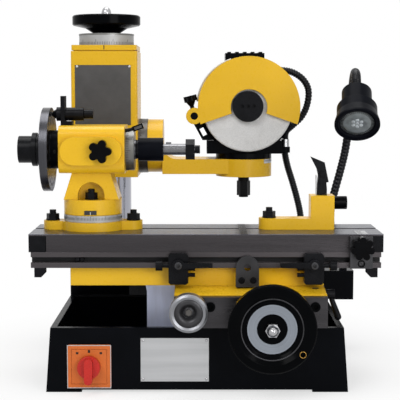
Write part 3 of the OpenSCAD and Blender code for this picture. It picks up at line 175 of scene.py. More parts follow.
def material(name, color, rough, metal=0.0, grain=40.0, tint=0.12, bump=0.05, round_mm=0.6,
             stretch=(1, 1, 1), coat=0.0, ring=None, rough_swing=0.08, specks=0.0, spec=0.5, top=None):
    """A Principled material whose colour, roughness and relief come from noise; a top colour adds painted
    sky light on the faces that look up.
    """
    m = bpy.data.materials.new(name)
    m.use_nodes = True
    tree = m.node_tree
    link = tree.links.new
    shader = tree.nodes["Principled BSDF"]
    shader.inputs["Metallic"].default_value = metal
    shader.inputs["Specular IOR Level"].default_value = spec
    shader.inputs["Coat Weight"].default_value = coat
    shader.inputs["Coat Roughness"].default_value = COAT_ROUGH
    place = add(tree, "ShaderNodeTexCoord")
    if ring:
        coords = turned_coords(tree, place, *ring)
    else:
        scale = add(tree, "ShaderNodeMapping", {"Scale": stretch})
        link(place.outputs["Object"], scale.inputs["Vector"])
        coords = scale.outputs["Vector"]
    coarse = add(tree, "ShaderNodeTexNoise", {"Scale": grain, "Detail": COARSE_DETAIL})
    fine = add(tree, "ShaderNodeTexNoise", {"Scale": grain * FINE_SHARE, "Detail": FINE_DETAIL})
    link(coords, coarse.inputs["Vector"])
    link(coords, fine.inputs["Vector"])
    out = ramp(tree, coarse.outputs["Fac"], NOISE_SPAN, [c * (1 - tint) for c in color],
               [min(1, c * (1 + tint)) for c in color])
    if specks:
        out = specked(tree, out, fine.outputs["Fac"], [c * (1 - specks) for c in color])
    # Painted light: faces that look up take the brighter, bluer top colour
    if top:
        out = painted_top_light(tree, out, top)
    link(out, shader.inputs["Base Color"])
    span = add(tree, "ShaderNodeMapRange", {
        "From Min": NOISE_SPAN[0], "From Max": NOISE_SPAN[1],
        "To Min": max(ROUGH_LEAST, rough - rough_swing), "To Max": min(1.0, rough + rough_swing)})
    link(fine.outputs["Fac"], span.inputs["Value"])
    link(span.outputs["Result"], shader.inputs["Roughness"])
    relief = add(tree, "ShaderNodeBump", {"Strength": bump, "Distance": RELIEF_DEPTH})
    link(fine.outputs["Fac"], relief.inputs["Height"])
    if round_mm:
        edge = add(tree, "ShaderNodeBevel", {"Radius": round_mm * MM}, samples=EDGE_SAMPLES)
        link(edge.outputs["Normal"], relief.inputs["Normal"])
    link(relief.outputs["Normal"], shader.inputs["Normal"])
    return m


YELLOW = material("yellow_enamel", (0.71, 0.42, 0.014), rough=0.3, grain=18, tint=0.03, bump=0.006,
                  round_mm=1.4, coat=0.06, spec=0.22, rough_swing=0.05)
BLACK = material("black_enamel", (0.0019, 0.0023, 0.0034), rough=0.22, grain=25, tint=0.2, bump=0.012,
                 round_mm=1.4, spec=0.035, rough_swing=0.05)
SATIN = material("black_satin", (0.0026, 0.0031, 0.0052), rough=0.36, grain=60, tint=0.2, round_mm=0.7,
                 spec=0.03)
WHEEL = material("wheel_black", (0.0011, 0.0013, 0.0017), rough=0.16, tint=0.2, bump=0.01, round_mm=1.0,
                 spec=0.025, rough_swing=0.03)
IRON = material("table_iron", (0.060, 0.054, 0.057), rough=0.36, metal=0.75, grain=30, tint=0.25,
                bump=0.08, stretch=(0.12, 1, 1), round_mm=0.8, spec=0.3)
# The top colour of the ground table is painted light, a brighter and bluer sky reflection on the faces
# that look up
GROUND = material("ground_top_sky_sheen", (0.048, 0.044, 0.047), rough=0.3, metal=0.85, grain=60, tint=0.15,
                  bump=0.06, stretch=(0.06, 1, 1), round_mm=0.8, spec=0.3, top=(0.082, 0.085, 0.108))
WAY = material("scraped_way", (0.54, 0.59, 0.78), rough=0.4, metal=0.3, grain=70, bump=0.06,
               stretch=(1, 1, 0.2))
PLATE = material("front_steel", (0.046, 0.044, 0.047), rough=0.32, metal=0.8, grain=50, tint=0.2,
                 bump=0.06, stretch=(0.1, 1, 1), spec=0.3)
ARBOR = material("arbor_steel", (0.17, 0.17, 0.178), rough=0.3, metal=1.0, grain=80, tint=0.15,
                 round_mm=0.4, stretch=(0.2, 1, 1))
LIFT = material("lift_dial", (0.36, 0.365, 0.37), rough=0.5, metal=0.45, grain=70, tint=0.06, bump=0.03,
                round_mm=0.3)
STEEL = material("turned_steel", (0.40, 0.40, 0.41), rough=0.22, metal=1.0, grain=50, bump=0.04,
                 round_mm=0.5)
DIAL = material("dial_silver", (0.165, 0.165, 0.158), rough=0.36, metal=0.8, grain=60, bump=0.04,
                round_mm=0.3)
FLANGE = material("flange_steel", (0.085, 0.080, 0.075), rough=0.36, metal=0.7, grain=60, tint=0.25,
                  round_mm=0.4)
TOOL = material("tool_steel", (0.040, 0.040, 0.043), rough=0.36, metal=0.6, grain=60, tint=0.2,
                round_mm=0.4, spec=0.3)
DARK = material("blackened_steel", (0.0055, 0.0057, 0.007), rough=0.28, metal=0.1, grain=60, tint=0.3,
                round_mm=0.9, spec=0.08)
CHROME = material("chrome", (0.34, 0.345, 0.39), rough=0.13, metal=1.0, grain=30, tint=0.05, bump=0.005,
                  round_mm=0.4, stretch=(1, 1, 0.1), rough_swing=0.03)
CUP = material("cup_aluminium", (0.22, 0.225, 0.24), rough=0.36, metal=0.95, grain=900, tint=0.15,
               bump=0.08, ring=(1, FEED_AXIS))
DISC = material("disc_steel", (0.062, 0.062, 0.069), rough=0.26, metal=1.0, grain=700, tint=0.18,
                bump=0.08, ring=(0, SPINDLE_AXIS), round_mm=0.8)
FACE = material("wheel_face", (0.18, 0.20, 0.23), rough=0.5, metal=0.2, grain=800, tint=0.1,
                ring=(1, (wheel_x, 0, wheel_z)), round_mm=0)
BAKELITE = material("black_phenolic", (0.0016, 0.0017, 0.0022), rough=0.16, grain=50, tint=0.25,
                    bump=0.01, round_mm=1.6, spec=0.05, rough_swing=0.04)
RED = material("red_plastic", (0.46, 0.016, 0.010), rough=0.3, tint=0.08, bump=0.02, round_mm=1.2,
               spec=0.3)
ORANGE = material("orange_plate", (0.56, 0.13, 0.02), rough=0.4, tint=0.06, bump=0.03, round_mm=0.3,
                  spec=0.3)
STONE = material("white_abrasive", (0.68, 0.68, 0.677), rough=0.85, grain=90, tint=0.04, bump=0.18,
                 round_mm=0.8, specks=0.09, rough_swing=0.1, spec=0.2)
BRONZE = material("bronze", (0.43, 0.25, 0.06), rough=0.3, metal=1.0, grain=60, tint=0.15, bump=0.04)
RUBBER = material("black_conduit", (0.004, 0.0045, 0.0062), rough=0.26, grain=70, tint=0.25, bump=0.03,
                  round_mm=0.3, spec=0.15)
SILVER = material("silver_plate", (0.45, 0.455, 0.465), rough=0.36, metal=0.85, grain=90, tint=0.08,
                  stretch=(0.05, 1, 1), round_mm=0.3)
GREY = material("grey_plate", (0.068, 0.066, 0.065), rough=0.4, metal=0.4, grain=50, bump=0.04,
                round_mm=0.3, spec=0.3)
MARK = material("mark_black", (0.010, 0.010, 0.011), rough=0.5, grain=80, tint=0.2, bump=0.02,
                round_mm=0, spec=0.2)
PALE = material("pale_white", (0.62, 0.62, 0.60), rough=0.4, grain=80, tint=0.05, bump=0.02,
                round_mm=0.2)
LENS = material("lamp_glass", (0.12, 0.135, 0.14), rough=0.16, grain=120, tint=0.3, bump=0.1,
                round_mm=0.3)
GLASS = material("lamp_bead_glass", (0.30, 0.33, 0.35), rough=0.1, grain=160, tint=0.3, bump=0.1,
                 round_mm=0.3)

NODE_LOOKS = {
    YELLOW: "saddle workhead_body workhead_flange tooth_bracket elevating_box box_cover arm wheel_guard",
    BLACK: "base motor lamp_stand guard_strap",
    SATIN: "lamp_head",
    WHEEL: "front_handwheel top_handwheel socket_screws",
    IRON: "lower_table",
    GROUND: "swivel_table",
    WAY: "cross_way",
    PLATE: "front_plate",
    STEEL: "traverse_shaft idler_gear table_rack elevating_screw",
    ARBOR: "workhead_spindle",
    ORANGE: "switch_plate",
    DIAL: "spindle_dial",
    FLANGE: "arm_flange",
    TOOL: "centre_bracket clamp_plate",
    DARK: "saddle_gibs saddle_lever end_blocks end_stops left_stop left_lever right_stop right_lever "
          "tooth_blade tooth_holder index_bracket index_pin collar_knob motor_spindle tee_bolts "
          "swivel_clamp arbor_nut",
    CHROME: "column",
    CUP: "cross_knob",
    DISC: "index_disc",
    BAKELITE: "table_knob workhead_knob tooth_knob guard_knob",
    RED: "switch_knob",
    STONE: "grinding_wheel",
    BRONZE: "cross_nut",
    RUBBER: "conduit_loop conduit_drop gooseneck",
}
for look, names in NODE_LOOKS.items():
    for name in names.split():
        mesh = nodes[name].data
        mesh.materials.clear()
        mesh.materials.append(look)

# Shapes of the surface pieces, in millimetres

# Radius that closes a turned piece at its axis
CORE = 0.01
# Corners of a box in the order of X, then Y, then Z, and of a bar with one end after the other
BOX_FACES = ((0, 2, 3, 1), (4, 5, 7, 6), (0, 1, 5, 4), (2, 6, 7, 3), (0, 4, 6, 2), (1, 3, 7, 5))
BAR_FACES = ((0, 3, 2, 1), (4, 5, 6, 7), (0, 1, 5, 4), (1, 2, 6, 5), (2, 3, 7, 6), (3, 0, 4, 7))
TICK_SUNK, TICK_PROUD = 0.1, 0.12
# Share of an axis along Z from which it counts as upright
UPRIGHT = 0.9
# A low round head from its foot to its top, in shares of its radius and height
DOME = ((1, 0), (1, 0.45), (0.8, 0.85), (0.35, 1))
DOME_SIDES, BAR_SIDES = 24, 40
RINGS_PER_RIB = 6
RIB_POWER = 0.6
TANGENT_STEP = 0.002


def mesh_object(name, verts, faces, look, smooth):
    """A mesh in the scene, from points in millimetres."""
    mesh = bpy.data.meshes.new(name)
    mesh.from_pydata([[c * MM for c in v] for v in verts], [], faces)
    mesh.validate()
    mesh.polygons.foreach_set("use_smooth", [smooth] * len(mesh.polygons))
    mesh.materials.append(look)
    obj = bpy.data.objects.new(name, mesh)
    scene.collection.objects.link(obj)
    return obj


def piece(name, verts, faces, look, body, smooth=False):
    """A mesh that moves with a body."""
    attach(mesh_object(name, verts, faces, look, smooth), body)


def slabs(name, boxes, look, body):
    """Boxes given by their low and high corners, as one piece."""
    verts, faces = [], []
    for lo, hi in boxes:
        faces += [[len(verts) + i for i in f] for f in BOX_FACES]
        verts += [(x, y, z) for z in (lo[2], hi[2]) for y in (lo[1], hi[1]) for x in (lo[0], hi[0])]
    piece(name, verts, faces, look, body)


def tilted(name, centre, size, lean, look, body):
    """A box that leans about the Y axis."""
    turn = Matrix.Rotation(math.radians(-lean), 3, "Y")
    signs = [(x, y, z) for z in (-1, 1) for y in (-1, 1) for x in (-1, 1)]
    verts = [Vector(centre) + turn @ Vector([s * d / 2 for s, d in zip(k, size)]) for k in signs]
    piece(name, verts, BOX_FACES, look, body)


def basis(axis):
    """Two directions across an axis, and the axis itself."""
    along = Vector(axis).normalized()
    first = Vector(UP) if abs(along.z) < UPRIGHT else Vector(RIGHT)
    first = (first - along * first.dot(along)).normalized()
    return first, along.cross(first), along


def spoke(first, second, angle):
    """The direction at an angle from the first towards the second, and the one across it."""
    out = first * math.cos(angle) + second * math.sin(angle)
    return out, second * math.cos(angle) - first * math.sin(angle)


def washer(r0, r1, h0, h1):
    """Profile of a flat ring."""
    return [(r0, h0), (r1, h0), (r1, h1), (r0, h1)]


def turned(name, profile, origin, axis, look, body, sides=64, arc=None, smooth=True):
    """A closed profile of (radius, height) points turned about an axis; arc is a pair of angles."""
    first, second, along = basis(axis)
    start, end = arc or (0, 360)
    steps = sides + 1 if arc else sides
    points = len(profile)
    verts, faces = [], []
    for i in range(steps):
        out, _ = spoke(first, second, math.radians(start + (end - start) * i / sides))
        verts += [Vector(origin) + out * r + along * h for r, h in profile]
    for i in range(sides):
        j = (i + 1) % steps
        for p in range(points):
            q = (p + 1) % points
            faces.append([i * points + p, i * points + q, j * points + q, j * points + p])
    if arc:
        faces += [list(range(points))[::-1], [(steps - 1) * points + p for p in range(points)]]
    piece(name, verts, faces, look, body, smooth)


def band(name, r, h0, h1, origin, axis, look, body, thick, sides=96, arc=None):
    """A thin sleeve on a cylinder."""
    turned(name, washer(r, r + thick, h0, h1), origin, axis, look, body, sides, arc, smooth=False)


def domed(name, r, h, origin, axis, look, body):
    """A low round head, such as a rivet or a screw."""
    profile = [(CORE, 0), *((r * a, h * b) for a, b in DOME), (CORE, h)]
    turned(name, profile, origin, axis, look, body, DOME_SIDES)


def round_bar(name, r, length, origin, axis, look, body, chamfer=0.6):
    """A short bar with a chamfer at both ends."""
    profile = [(CORE, 0), (r - chamfer, 0), (r, chamfer), (r, length - chamfer), (r - chamfer, length),
               (CORE, length)]
    turned(name, profile, origin, axis, look, body, BAR_SIDES, smooth=False)


def ticks(name, r, h0, origin, axis, body, count, long_every, lengths, width, start=0.0, sweep=360.0):
    """Graduation marks on a cylinder: short and long bars along the axis."""
    first, second, along = basis(axis)
    verts, faces = [], []
    for i in range(count):
        out, side = spoke(first, second, math.radians(start + sweep * i / count))
        reach = lengths[1] if i % long_every == 0 else lengths[0]
        faces += [[len(verts) + k for k in f] for f in BAR_FACES]
        for d in (r - TICK_SUNK, r + TICK_PROUD):
            for s, h in ((-1, h0), (1, h0), (1, h0 + reach), (-1, h0 + reach)):
                verts.append(Vector(origin) + out * d + side * (s * width / 2) + along * h)
    piece(name, verts, faces, MARK, body)


def rays(name, r0, r1, count, width, thick, origin, axis, look, body):
    """Short bars that point to the axis, in a ring."""
    first, second, along = basis(axis)
    verts, faces = [], []
    for i in range(count):
        out, side = spoke(first, second, 2 * math.pi * i / count)
        faces += [[len(verts) + k for k in reversed(f)] for f in BAR_FACES]
        for h in (0, thick):
            for s, r in ((-1, r0), (1, r0), (1, r1), (-1, r1)):
                verts.append(Vector(origin) + out * r + side * (s * width / 2) + along * h)
    piece(name, verts, faces, look, body)


def spline(route, share):
    """Point at a share of a Catmull-Rom curve through the route's points."""
    spans = len(route) - 1
    i = min(int(share * spans), spans - 1)
    t = share * spans - i
    a, b, c, d = (Vector(route[max(0, min(spans, k))]) for k in (i - 1, i, i + 1, i + 2))
    return 0.5 * (2 * b + (c - a) * t + (2 * a - 5 * b + 4 * c - d) * t ** 2
                  + (3 * b - a - 3 * c + d) * t ** 3)


def ribbed(name, route, ribs, crest, root, side, sides=20):
    """A corrugated hose along a route, with rounded ribs."""
    verts, faces = [], []
    rings = RINGS_PER_RIB * ribs
    for i in range(rings + 1):
        share = i / rings
        centre = spline(route, share)
        ahead = spline(route, min(1, share + TANGENT_STEP))
        behind = spline(route, max(0, share - TANGENT_STEP))
        along = (ahead - behind).normalized()
        first = along.cross(Vector(side)).normalized()
        second = along.cross(first)
        swell = (0.5 - 0.5 * math.cos(2 * math.pi * i / RINGS_PER_RIB)) ** RIB_POWER
        r = root / 2 + (crest - root) / 2 * swell
        for k in range(sides):
            out, _ = spoke(first, second, 2 * math.pi * k / sides)
            verts.append(centre + out * r)
    for i in range(rings):
        for k in range(sides):
            q = (k + 1) % sides
            faces.append([i * sides + k, i * sides + q, (i + 1) * sides + q, (i + 1) * sides + k])
    faces += [list(range(sides))[::-1], [rings * sides + k for k in range(sides)]]
    return mesh_object(name, verts, faces, RUBBER, True)


# Conduit and gooseneck

hose_d, hose_root_d = 12, 9.8
neck_d, neck_root_d = 14, 12.4
loop_ribs, drop_ribs, neck_ribs = 50, 64, 105
loop_route = [(113.4, 118, 470), (126, 118, 470.5), (145, 118, 471), (163, 119, 467), (180, 121, 455),
              (189, 123, 437), (187, 124, 413), (178, 125, 393), (163, 125, 378), (153, 125, 369),
              (150.2, 125, 362), (150, 125, 354.4)]
drop_route = [(150, 125, 338.7), (150.2, 125, 327), (155, 125, 306), (162, 125, 284), (169, 125, 260),
              (175, 125, 236), (178.5, 125, 214), (180, 125, 196), (180, 125, 175), (180, 125, 150),
              (180, 125, 100), (180, 125, 88)]
neck_route = [(247, 88, 136.3), (247, 88, 151), (243, 88, 166), (233, 88, 186), (226, 88, 208),
              (225, 88, 232), (230, 88.5, 262), (240, 89, 300), (248, 88, 335), (252, 80, 372),
              (252.5, 64, 408), (252, 40, 434.5), (249.3, 2, 456.5), (246, -38, 465), (243.6, -68, 461.5),
              (242.2, -83.5, 453.2), (241.35, -90.9, 446.1), (240.55, -98.07, 439.14)]
loop = ribbed("loop_hose", loop_route, loop_ribs, hose_d, hose_root_d, BACK)
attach(loop, "wheel_head")
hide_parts("conduit_loop")
drop = ribbed("drop_hose", drop_route, drop_ribs, hose_d, hose_root_d, BACK)
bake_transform(drop)
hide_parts("conduit_drop")
neck = ribbed("neck_hose", neck_route, neck_ribs, neck_d, neck_root_d, RIGHT)
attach(neck, "machine_base")
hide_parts("gooseneck")

gland_x, gland_y, _ = drop_route[0]
gland_r, gland_foot, gland_top, gland_sleeve_t = 6.5, 341.2, 354, 0.5
band("gland_sleeve", gland_r, gland_foot, gland_top, (gland_x, gland_y, 0), UP, STEEL, "wheel_head",
     gland_sleeve_t)

# Base: bare plate with a rivet at each corner

plate_x = (-82, 17)
plate_z = (16, 80)
plate_t = 1
rivet_inset, rivet_r, rivet_h = 3.5, 2.0, 1.2
plate_front = base_front - plate_t
slabs("base_plate", [((plate_x[0], plate_front, plate_z[0]), (plate_x[1], base_front, plate_z[1]))],
      SILVER, "machine_base")
rivet_places = [(x, plate_front, z) for z in (plate_z[0] + rivet_inset, plate_z[1] - rivet_inset)
                for x in (plate_x[0] + rivet_inset, plate_x[1] - rivet_inset)]
for i, place in enumerate(rivet_places):
    domed(f"plate_rivet_{i}", rivet_r, rivet_h, place, FRONT, STEEL, "machine_base")

# Switch: square face round the knob, bright frame, three marks

face_sunk, face_t = 0.98, 0.8
face_bore_r, face_corner_r = 8.6, 35.6
# A ring of four sides, turned by half a side, is square
face_sides, face_arc = 4, (45, 405)
frame_at, frame_w = 31.3, 1.1
frame_half_h, frame_half_w = 31.9, 30.7
frame_proud, frame_sunk = 0.25, 0.1
mark_proud, mark_sunk = 0.1, 0.2
frame_y = (switch_front - frame_proud, switch_front + frame_sunk)
mark_y = (switch_front - mark_proud, switch_front + mark_sunk)
# Middle and size of each mark, from the middle of the switch
switch_marks = [(-17.25, 20, 3.5, 3), (0, 22.5, 3.2, 4), (17.25, 20, 3.5, 3)]


def switch_bar(x, z, w, h, y):
    """Corners of a flat bar on the switch."""
    x, z = switch_x + x, switch_z + z
    return (x - w / 2, y[0], z - h / 2), (x + w / 2, y[1], z + h / 2)


turned("switch_face", washer(face_bore_r, face_corner_r, 0, face_t),
       (switch_x, switch_front + face_sunk, switch_z), FRONT, ORANGE, "machine_base",
       face_sides, face_arc, smooth=False)
slabs("switch_frame", [switch_bar(a, 0, frame_w, 2 * frame_half_h, frame_y) for a in (-frame_at, frame_at)]
      + [switch_bar(0, a, 2 * frame_half_w, frame_w, frame_y) for a in (-frame_at, frame_at)],
      SILVER, "machine_base")
slabs("switch_marks", [switch_bar(*m, mark_y) for m in switch_marks], MARK, "machine_base")

# Front handwheel: bright face ring on the dish, bead, bush of the grip hole

face_profile = [(21.5, -8.6), (35, -7.5), (35, -7.1), (21.5, -8.15)]
bead_profile = [(42.6, -5.1), (44.4, -4.0), (43.9, -3.4), (42.4, -4.3)]
grip_r, grip_turn = 54.69, math.radians(39)
bush_bore_r, bush_r, bush_deep, bush_proud = 4.05, 4.7, 6, 0.25
GRIP_AT = (wheel_x + grip_r * math.cos(grip_turn), WHEEL_AT[1], wheel_z - grip_r * math.sin(grip_turn))
turned("wheel_face_ring", face_profile, WHEEL_AT, FRONT, FACE, "traverse", sides=96, smooth=False)
turned("wheel_bead", bead_profile, WHEEL_AT, FRONT, TOOL, "traverse", sides=96)
turned("grip_bush", washer(bush_bore_r, bush_r, -bush_deep, bush_proud), GRIP_AT, FRONT, BRONZE,
       "traverse", sides=32)

# Cross-feed knob: dial marks, a dark inner cone and floor painted as the shade inside the cup, and the
# cup's screw

feed_dial_r, feed_dial_y = 22, -218.5
inner_shade_profile = [(8.2, -12.6), (20.2, -2.5), (20.4, -1.5), (8.2, -11.6)]
floor_r, floor_deep, floor_top = 8.4, -12.9, -12.2
cup_screw_profile = [(CORE, floor_top), (5.2, floor_top), (5.2, -9.4), (4.6, -8.8), (CORE, -8.8)]
ticks("feed_ticks", feed_dial_r, feed_dial_y, FEED_AXIS, BACK, "cross_feed", count=50, long_every=5,
      lengths=(3, 5), width=0.5)
# Painted shade: the dark inner cone and floor stand for the shade inside the cup's hollow
turned("cup_inner_shade", inner_shade_profile, CUP_AT, FRONT, TOOL, "cross_feed", sides=72)
turned("cup_floor", washer(CORE, floor_r, floor_deep, floor_top), CUP_AT, FRONT, TOOL, "cross_feed",
       sides=48)
turned("cup_screw", cup_screw_profile, CUP_AT, FRONT, FLANGE, "cross_feed", sides=6, smooth=False)

# Saddle: oil slot on the apron's slope

oil_slot = ((169.5, -172.0, 147.6), (178.5, -169.2, 148.75))
slabs("oil_slot", [oil_slot], MARK, "saddle")

# Table: screws and shade in the front slot, strip over the top, end scale

slot_screw_xs, slot_screw_r, slot_screw_l = (-177, -170), 3.1, 9.5
slot_y, slot_z = -150, 188.6
slot_shade = ((-245.3, -150.1, 184.8), (271.3, -149.7, 192.4))
strip_x, strip_y, strip_t = (63.5, 74.8), (-161, -34), 0.12
scale_x, scale_y, scale_t = (236, 252), (-160.5, -120), 0.3
scale_top = table_top + scale_t
scale_mark_x, scale_mark_y0, scale_step, scale_mark_w, scale_mark_t = 238, -158, 3.4, 0.5, 0.05
scale_marks, scale_long_every, scale_mark_end, scale_long_end = 11, 5, 245, 249
for i, x in enumerate(slot_screw_xs):
    round_bar(f"slot_screw_{i}", slot_screw_r, slot_screw_l, (x, slot_y, slot_z), FRONT, DARK, "table")
slabs("slot_shade", [slot_shade], MARK, "table")
slabs("top_strip", [((strip_x[0], strip_y[0], table_top), (strip_x[1], strip_y[1], table_top + strip_t))],
      DARK, "top_table")
slabs("end_scale", [((scale_x[0], scale_y[0], table_top), (scale_x[1], scale_y[1], scale_top))],
      SILVER, "top_table")
scale_bars = []
for i in range(scale_marks):
    y = scale_mark_y0 + scale_step * i
    end = scale_mark_end if i % scale_long_every else scale_long_end
    scale_bars.append(((scale_mark_x, y, scale_top), (end, y + scale_mark_w, scale_top + scale_mark_t)))
slabs("end_scale_ticks", scale_bars, MARK, "top_table")

# Workhead: graduated ring, pointer, nut in the frame

work_ring_r, work_ring_z, work_ring_t = 44, (240.3, 250.4), 0.12
work_tick_r, work_tick_z = 44.15, 243.6
pointer_w, pointer_y, pointer_z = 18, (-136.4, -135.0), (252.4, 258.6)
line_w, line_y, line_top = 1, (-136.55, -136.3), 256.5
NUT_AT = (work_x, -117.4, 274.05)
nut_washer_r, nut_washer_h, nut_washer_chamfer = 10.2, 2, 0.4
nut_r, nut_top, stud_r, stud_h, stud_chamfer = 9.2, 10.5, 5.2, 16, 0.8
band("work_ring", work_ring_r, *work_ring_z, WORK_AXIS, UP, LIFT, "top_table", work_ring_t)
ticks("work_ring_ticks", work_tick_r, work_tick_z, WORK_AXIS, UP, "top_table", count=120, long_every=10,
      lengths=(4, 6.2), width=0.55)
slabs("work_pointer", [((work_x - pointer_w / 2, pointer_y[0], pointer_z[0]),
                        (work_x + pointer_w / 2, pointer_y[1], pointer_z[1]))], TOOL, "workhead")
slabs("work_pointer_line", [((work_x - line_w / 2, line_y[0], pointer_z[0]),
                             (work_x + line_w / 2, line_y[1], line_top))], PALE, "workhead")
round_bar("frame_washer", nut_washer_r, nut_washer_h, NUT_AT, UP, DARK, "workhead", nut_washer_chamfer)
turned("frame_nut", washer(CORE, nut_r, nut_washer_h, nut_top), NUT_AT, UP, DARK, "workhead",
       sides=6, smooth=False)
round_bar("frame_stud", stud_r, stud_h, NUT_AT, UP, DARK, "workhead", stud_chamfer)

# Work spindle: black sleeves, dial marks, lock handle, nose and thread

index_sleeve_r, index_sleeve_x, index_sleeve_t = 29, (-220.7, -206.5), 0.15
sleeve_screw_x, sleeve_screw_drop, sleeve_screw_r, sleeve_screw_h = -214, 2, 3, 0.6
SLEEVE_SCREW_AT = (sleeve_screw_x, spindle_y - index_sleeve_r, spindle_z - sleeve_screw_drop)
dial_r, dial_x = 31.55, -107.4
handle_lean = 20
handle_at, handle_size = (-88.3, -121, 382.4), (16.5, 8, 8)
handle_face_at, handle_face_size = (-88.2, -125.2, 382.4), (11.5, 0.6, 4)
stem_at, stem_axis, stem_r, stem_l, stem_chamfer = (-109, -121, 377), (1, 0, 0.25), 2.6, 14, 0.3
nose_r, nose_x, nose_t = 14.5, (-94.4, -90.0), 0.1
arbor_sleeve_r, arbor_sleeve_x, arbor_sleeve_t = 17.5, (-89.7, -51.8), 0.12
sleeve_end_x, sleeve_bore_r, sleeve_end_r = -51.75, 9.2, 17.6
thread_x, thread_l, thread_turns, thread_pitch = -3.4, 7.3, 5, 1.5
thread_r, thread_root_r, thread_core_r = 6.5, 6.0, 5.5
crest_share, root_share = 0.4, 0.9
band("index_sleeve", index_sleeve_r, *index_sleeve_x, SPINDLE_AXIS, RIGHT, SATIN, "work_spindle",
     index_sleeve_t)
turned("sleeve_screw", washer(CORE, sleeve_screw_r, 0, sleeve_screw_h), SLEEVE_SCREW_AT, FRONT, MARK,
       "work_spindle", sides=20)
ticks("dial_ticks", dial_r, dial_x, SPINDLE_AXIS, RIGHT, "work_spindle", count=72, long_every=6,
      lengths=(4.5, 7.5), width=0.55)
tilted("lock_handle", handle_at, handle_size, handle_lean, BAKELITE, "workhead")
tilted("lock_handle_face", handle_face_at, handle_face_size, handle_lean, GREY, "workhead")
round_bar("lock_stem", stem_r, stem_l, stem_at, stem_axis, DARK, "workhead", stem_chamfer)
band("spindle_nose", nose_r, *nose_x, SPINDLE_AXIS, RIGHT, DARK, "work_spindle", nose_t)
band("arbor_sleeve", arbor_sleeve_r, *arbor_sleeve_x, SPINDLE_AXIS, RIGHT, SATIN, "work_spindle",
     arbor_sleeve_t)
turned("sleeve_end", washer(sleeve_bore_r, sleeve_end_r, 0, arbor_sleeve_t),
       (sleeve_end_x, spindle_y, spindle_z), RIGHT, SATIN, "work_spindle")
thread_profile = [(thread_root_r, 0)]
for i in range(thread_turns):
    thread_profile += [(thread_r, thread_pitch * (i + crest_share)),
                       (thread_root_r, thread_pitch * (i + root_share))]
thread_profile += [(thread_core_r, thread_l), (thread_core_r, 0)]
turned("arbor_thread", thread_profile, (thread_x, spindle_y, spindle_z), RIGHT, DARK, "work_spindle",
       sides=40)

# Elevating box: bare plate with two rivets, dial under the top handwheel

box_front = low("elevating_box")[1]
cover_front = low("box_cover")[1]
box_plate_x, box_plate_z, box_plate_t = (-202.8, -110.6), (380, 479), 0.8
box_rivet_xs, box_rivet_z, box_rivet_r, box_rivet_h = (-199, -112.4), 476.4, 2.2, 1.4
box_plate_front = box_front - box_plate_t
lift_dial_r = 46
lift_lip_z, lift_lip_t = (529.2, 531.9), 0.7
lift_band_z, lift_band_t = (511.8, 529), 0.12
lift_tick_r, lift_tick_z = 46.1, 513
zero_w, zero_t, zero_z = 1.4, 0.6, (505, 511.6)
slabs("box_plate", [((box_plate_x[0], box_plate_front, box_plate_z[0]),
                     (box_plate_x[1], box_front, box_plate_z[1]))], GREY, "wheel_box")
for i, x in enumerate(box_rivet_xs):
    domed(f"box_rivet_{i}", box_rivet_r, box_rivet_h, (x, box_plate_front, box_rivet_z), FRONT, SILVER,
          "wheel_box")
band("lift_lip", lift_dial_r, *lift_lip_z, LIFT_AXIS, UP, DIAL, "lift_screw", lift_lip_t)
slabs("lift_zero", [((lift_x - zero_w / 2, cover_front - zero_t / 2, zero_z[0]),
                     (lift_x + zero_w / 2, cover_front + zero_t / 2, zero_z[1]))], MARK, "wheel_box")
band("lift_band", lift_dial_r, *lift_band_z, LIFT_AXIS, UP, LIFT, "lift_screw", lift_band_t)
ticks("lift_ticks", lift_tick_r, lift_tick_z, LIFT_AXIS, UP, "lift_screw", count=100, long_every=10,
      lengths=(5, 9), width=0.6)

# Arm: scale plate on the round end, marks on the flange

arm_end_r, arm_scale_z, arm_scale_t, arm_scale_arc = 47.5, (314.6, 321.6), 0.3, (-46, -8)
arm_tick_r, arm_tick_z, arm_tick_start, arm_tick_sweep = 47.85, 317.6, -44, 36
flange_r, flange_tick_x = 46, -97.5
band("arm_scale", arm_end_r, *arm_scale_z, ARM_AXIS, UP, SILVER, "wheel_box", arm_scale_t,
     sides=16, arc=arm_scale_arc)
ticks("arm_scale_ticks", arm_tick_r, arm_tick_z, ARM_AXIS, UP, "wheel_box", count=10, long_every=5,
      lengths=(2.6, 3.8), width=0.7, start=arm_tick_start, sweep=arm_tick_sweep)
ticks("flange_ticks", flange_r, flange_tick_x, FLANGE_AXIS, RIGHT, "wheel_box", count=60, long_every=5,
      lengths=(4, 7), width=0.5)

# Wheel head: pale arc painted as a highlight at the upper left of the guard's edge, dark shield behind the
# wheel

glint_at, glint_r0, glint_r1, glint_t, glint_arc = (82.2, 92, 410.2), 81.6, 84.4, 5, (18, 84)
shield_y = 101
shield_profile = [(40, 0), (79, 0), (80.5, 1.5), (80.5, 4), (40, 4)]
# Painted highlight: a pale arc on the guard's edge, only where the light falls at its upper left
turned("guard_edge_glint", washer(glint_r0, glint_r1, 0, glint_t), glint_at, FRONT, PALE, "guard",
       sides=24, arc=glint_arc)
turned("motor_shield", shield_profile, (stone_x, shield_y, stone_z), FRONT, BLACK, "wheel_head",
       sides=96)

# Screws: trip stop levers, clamp plate, centre bracket

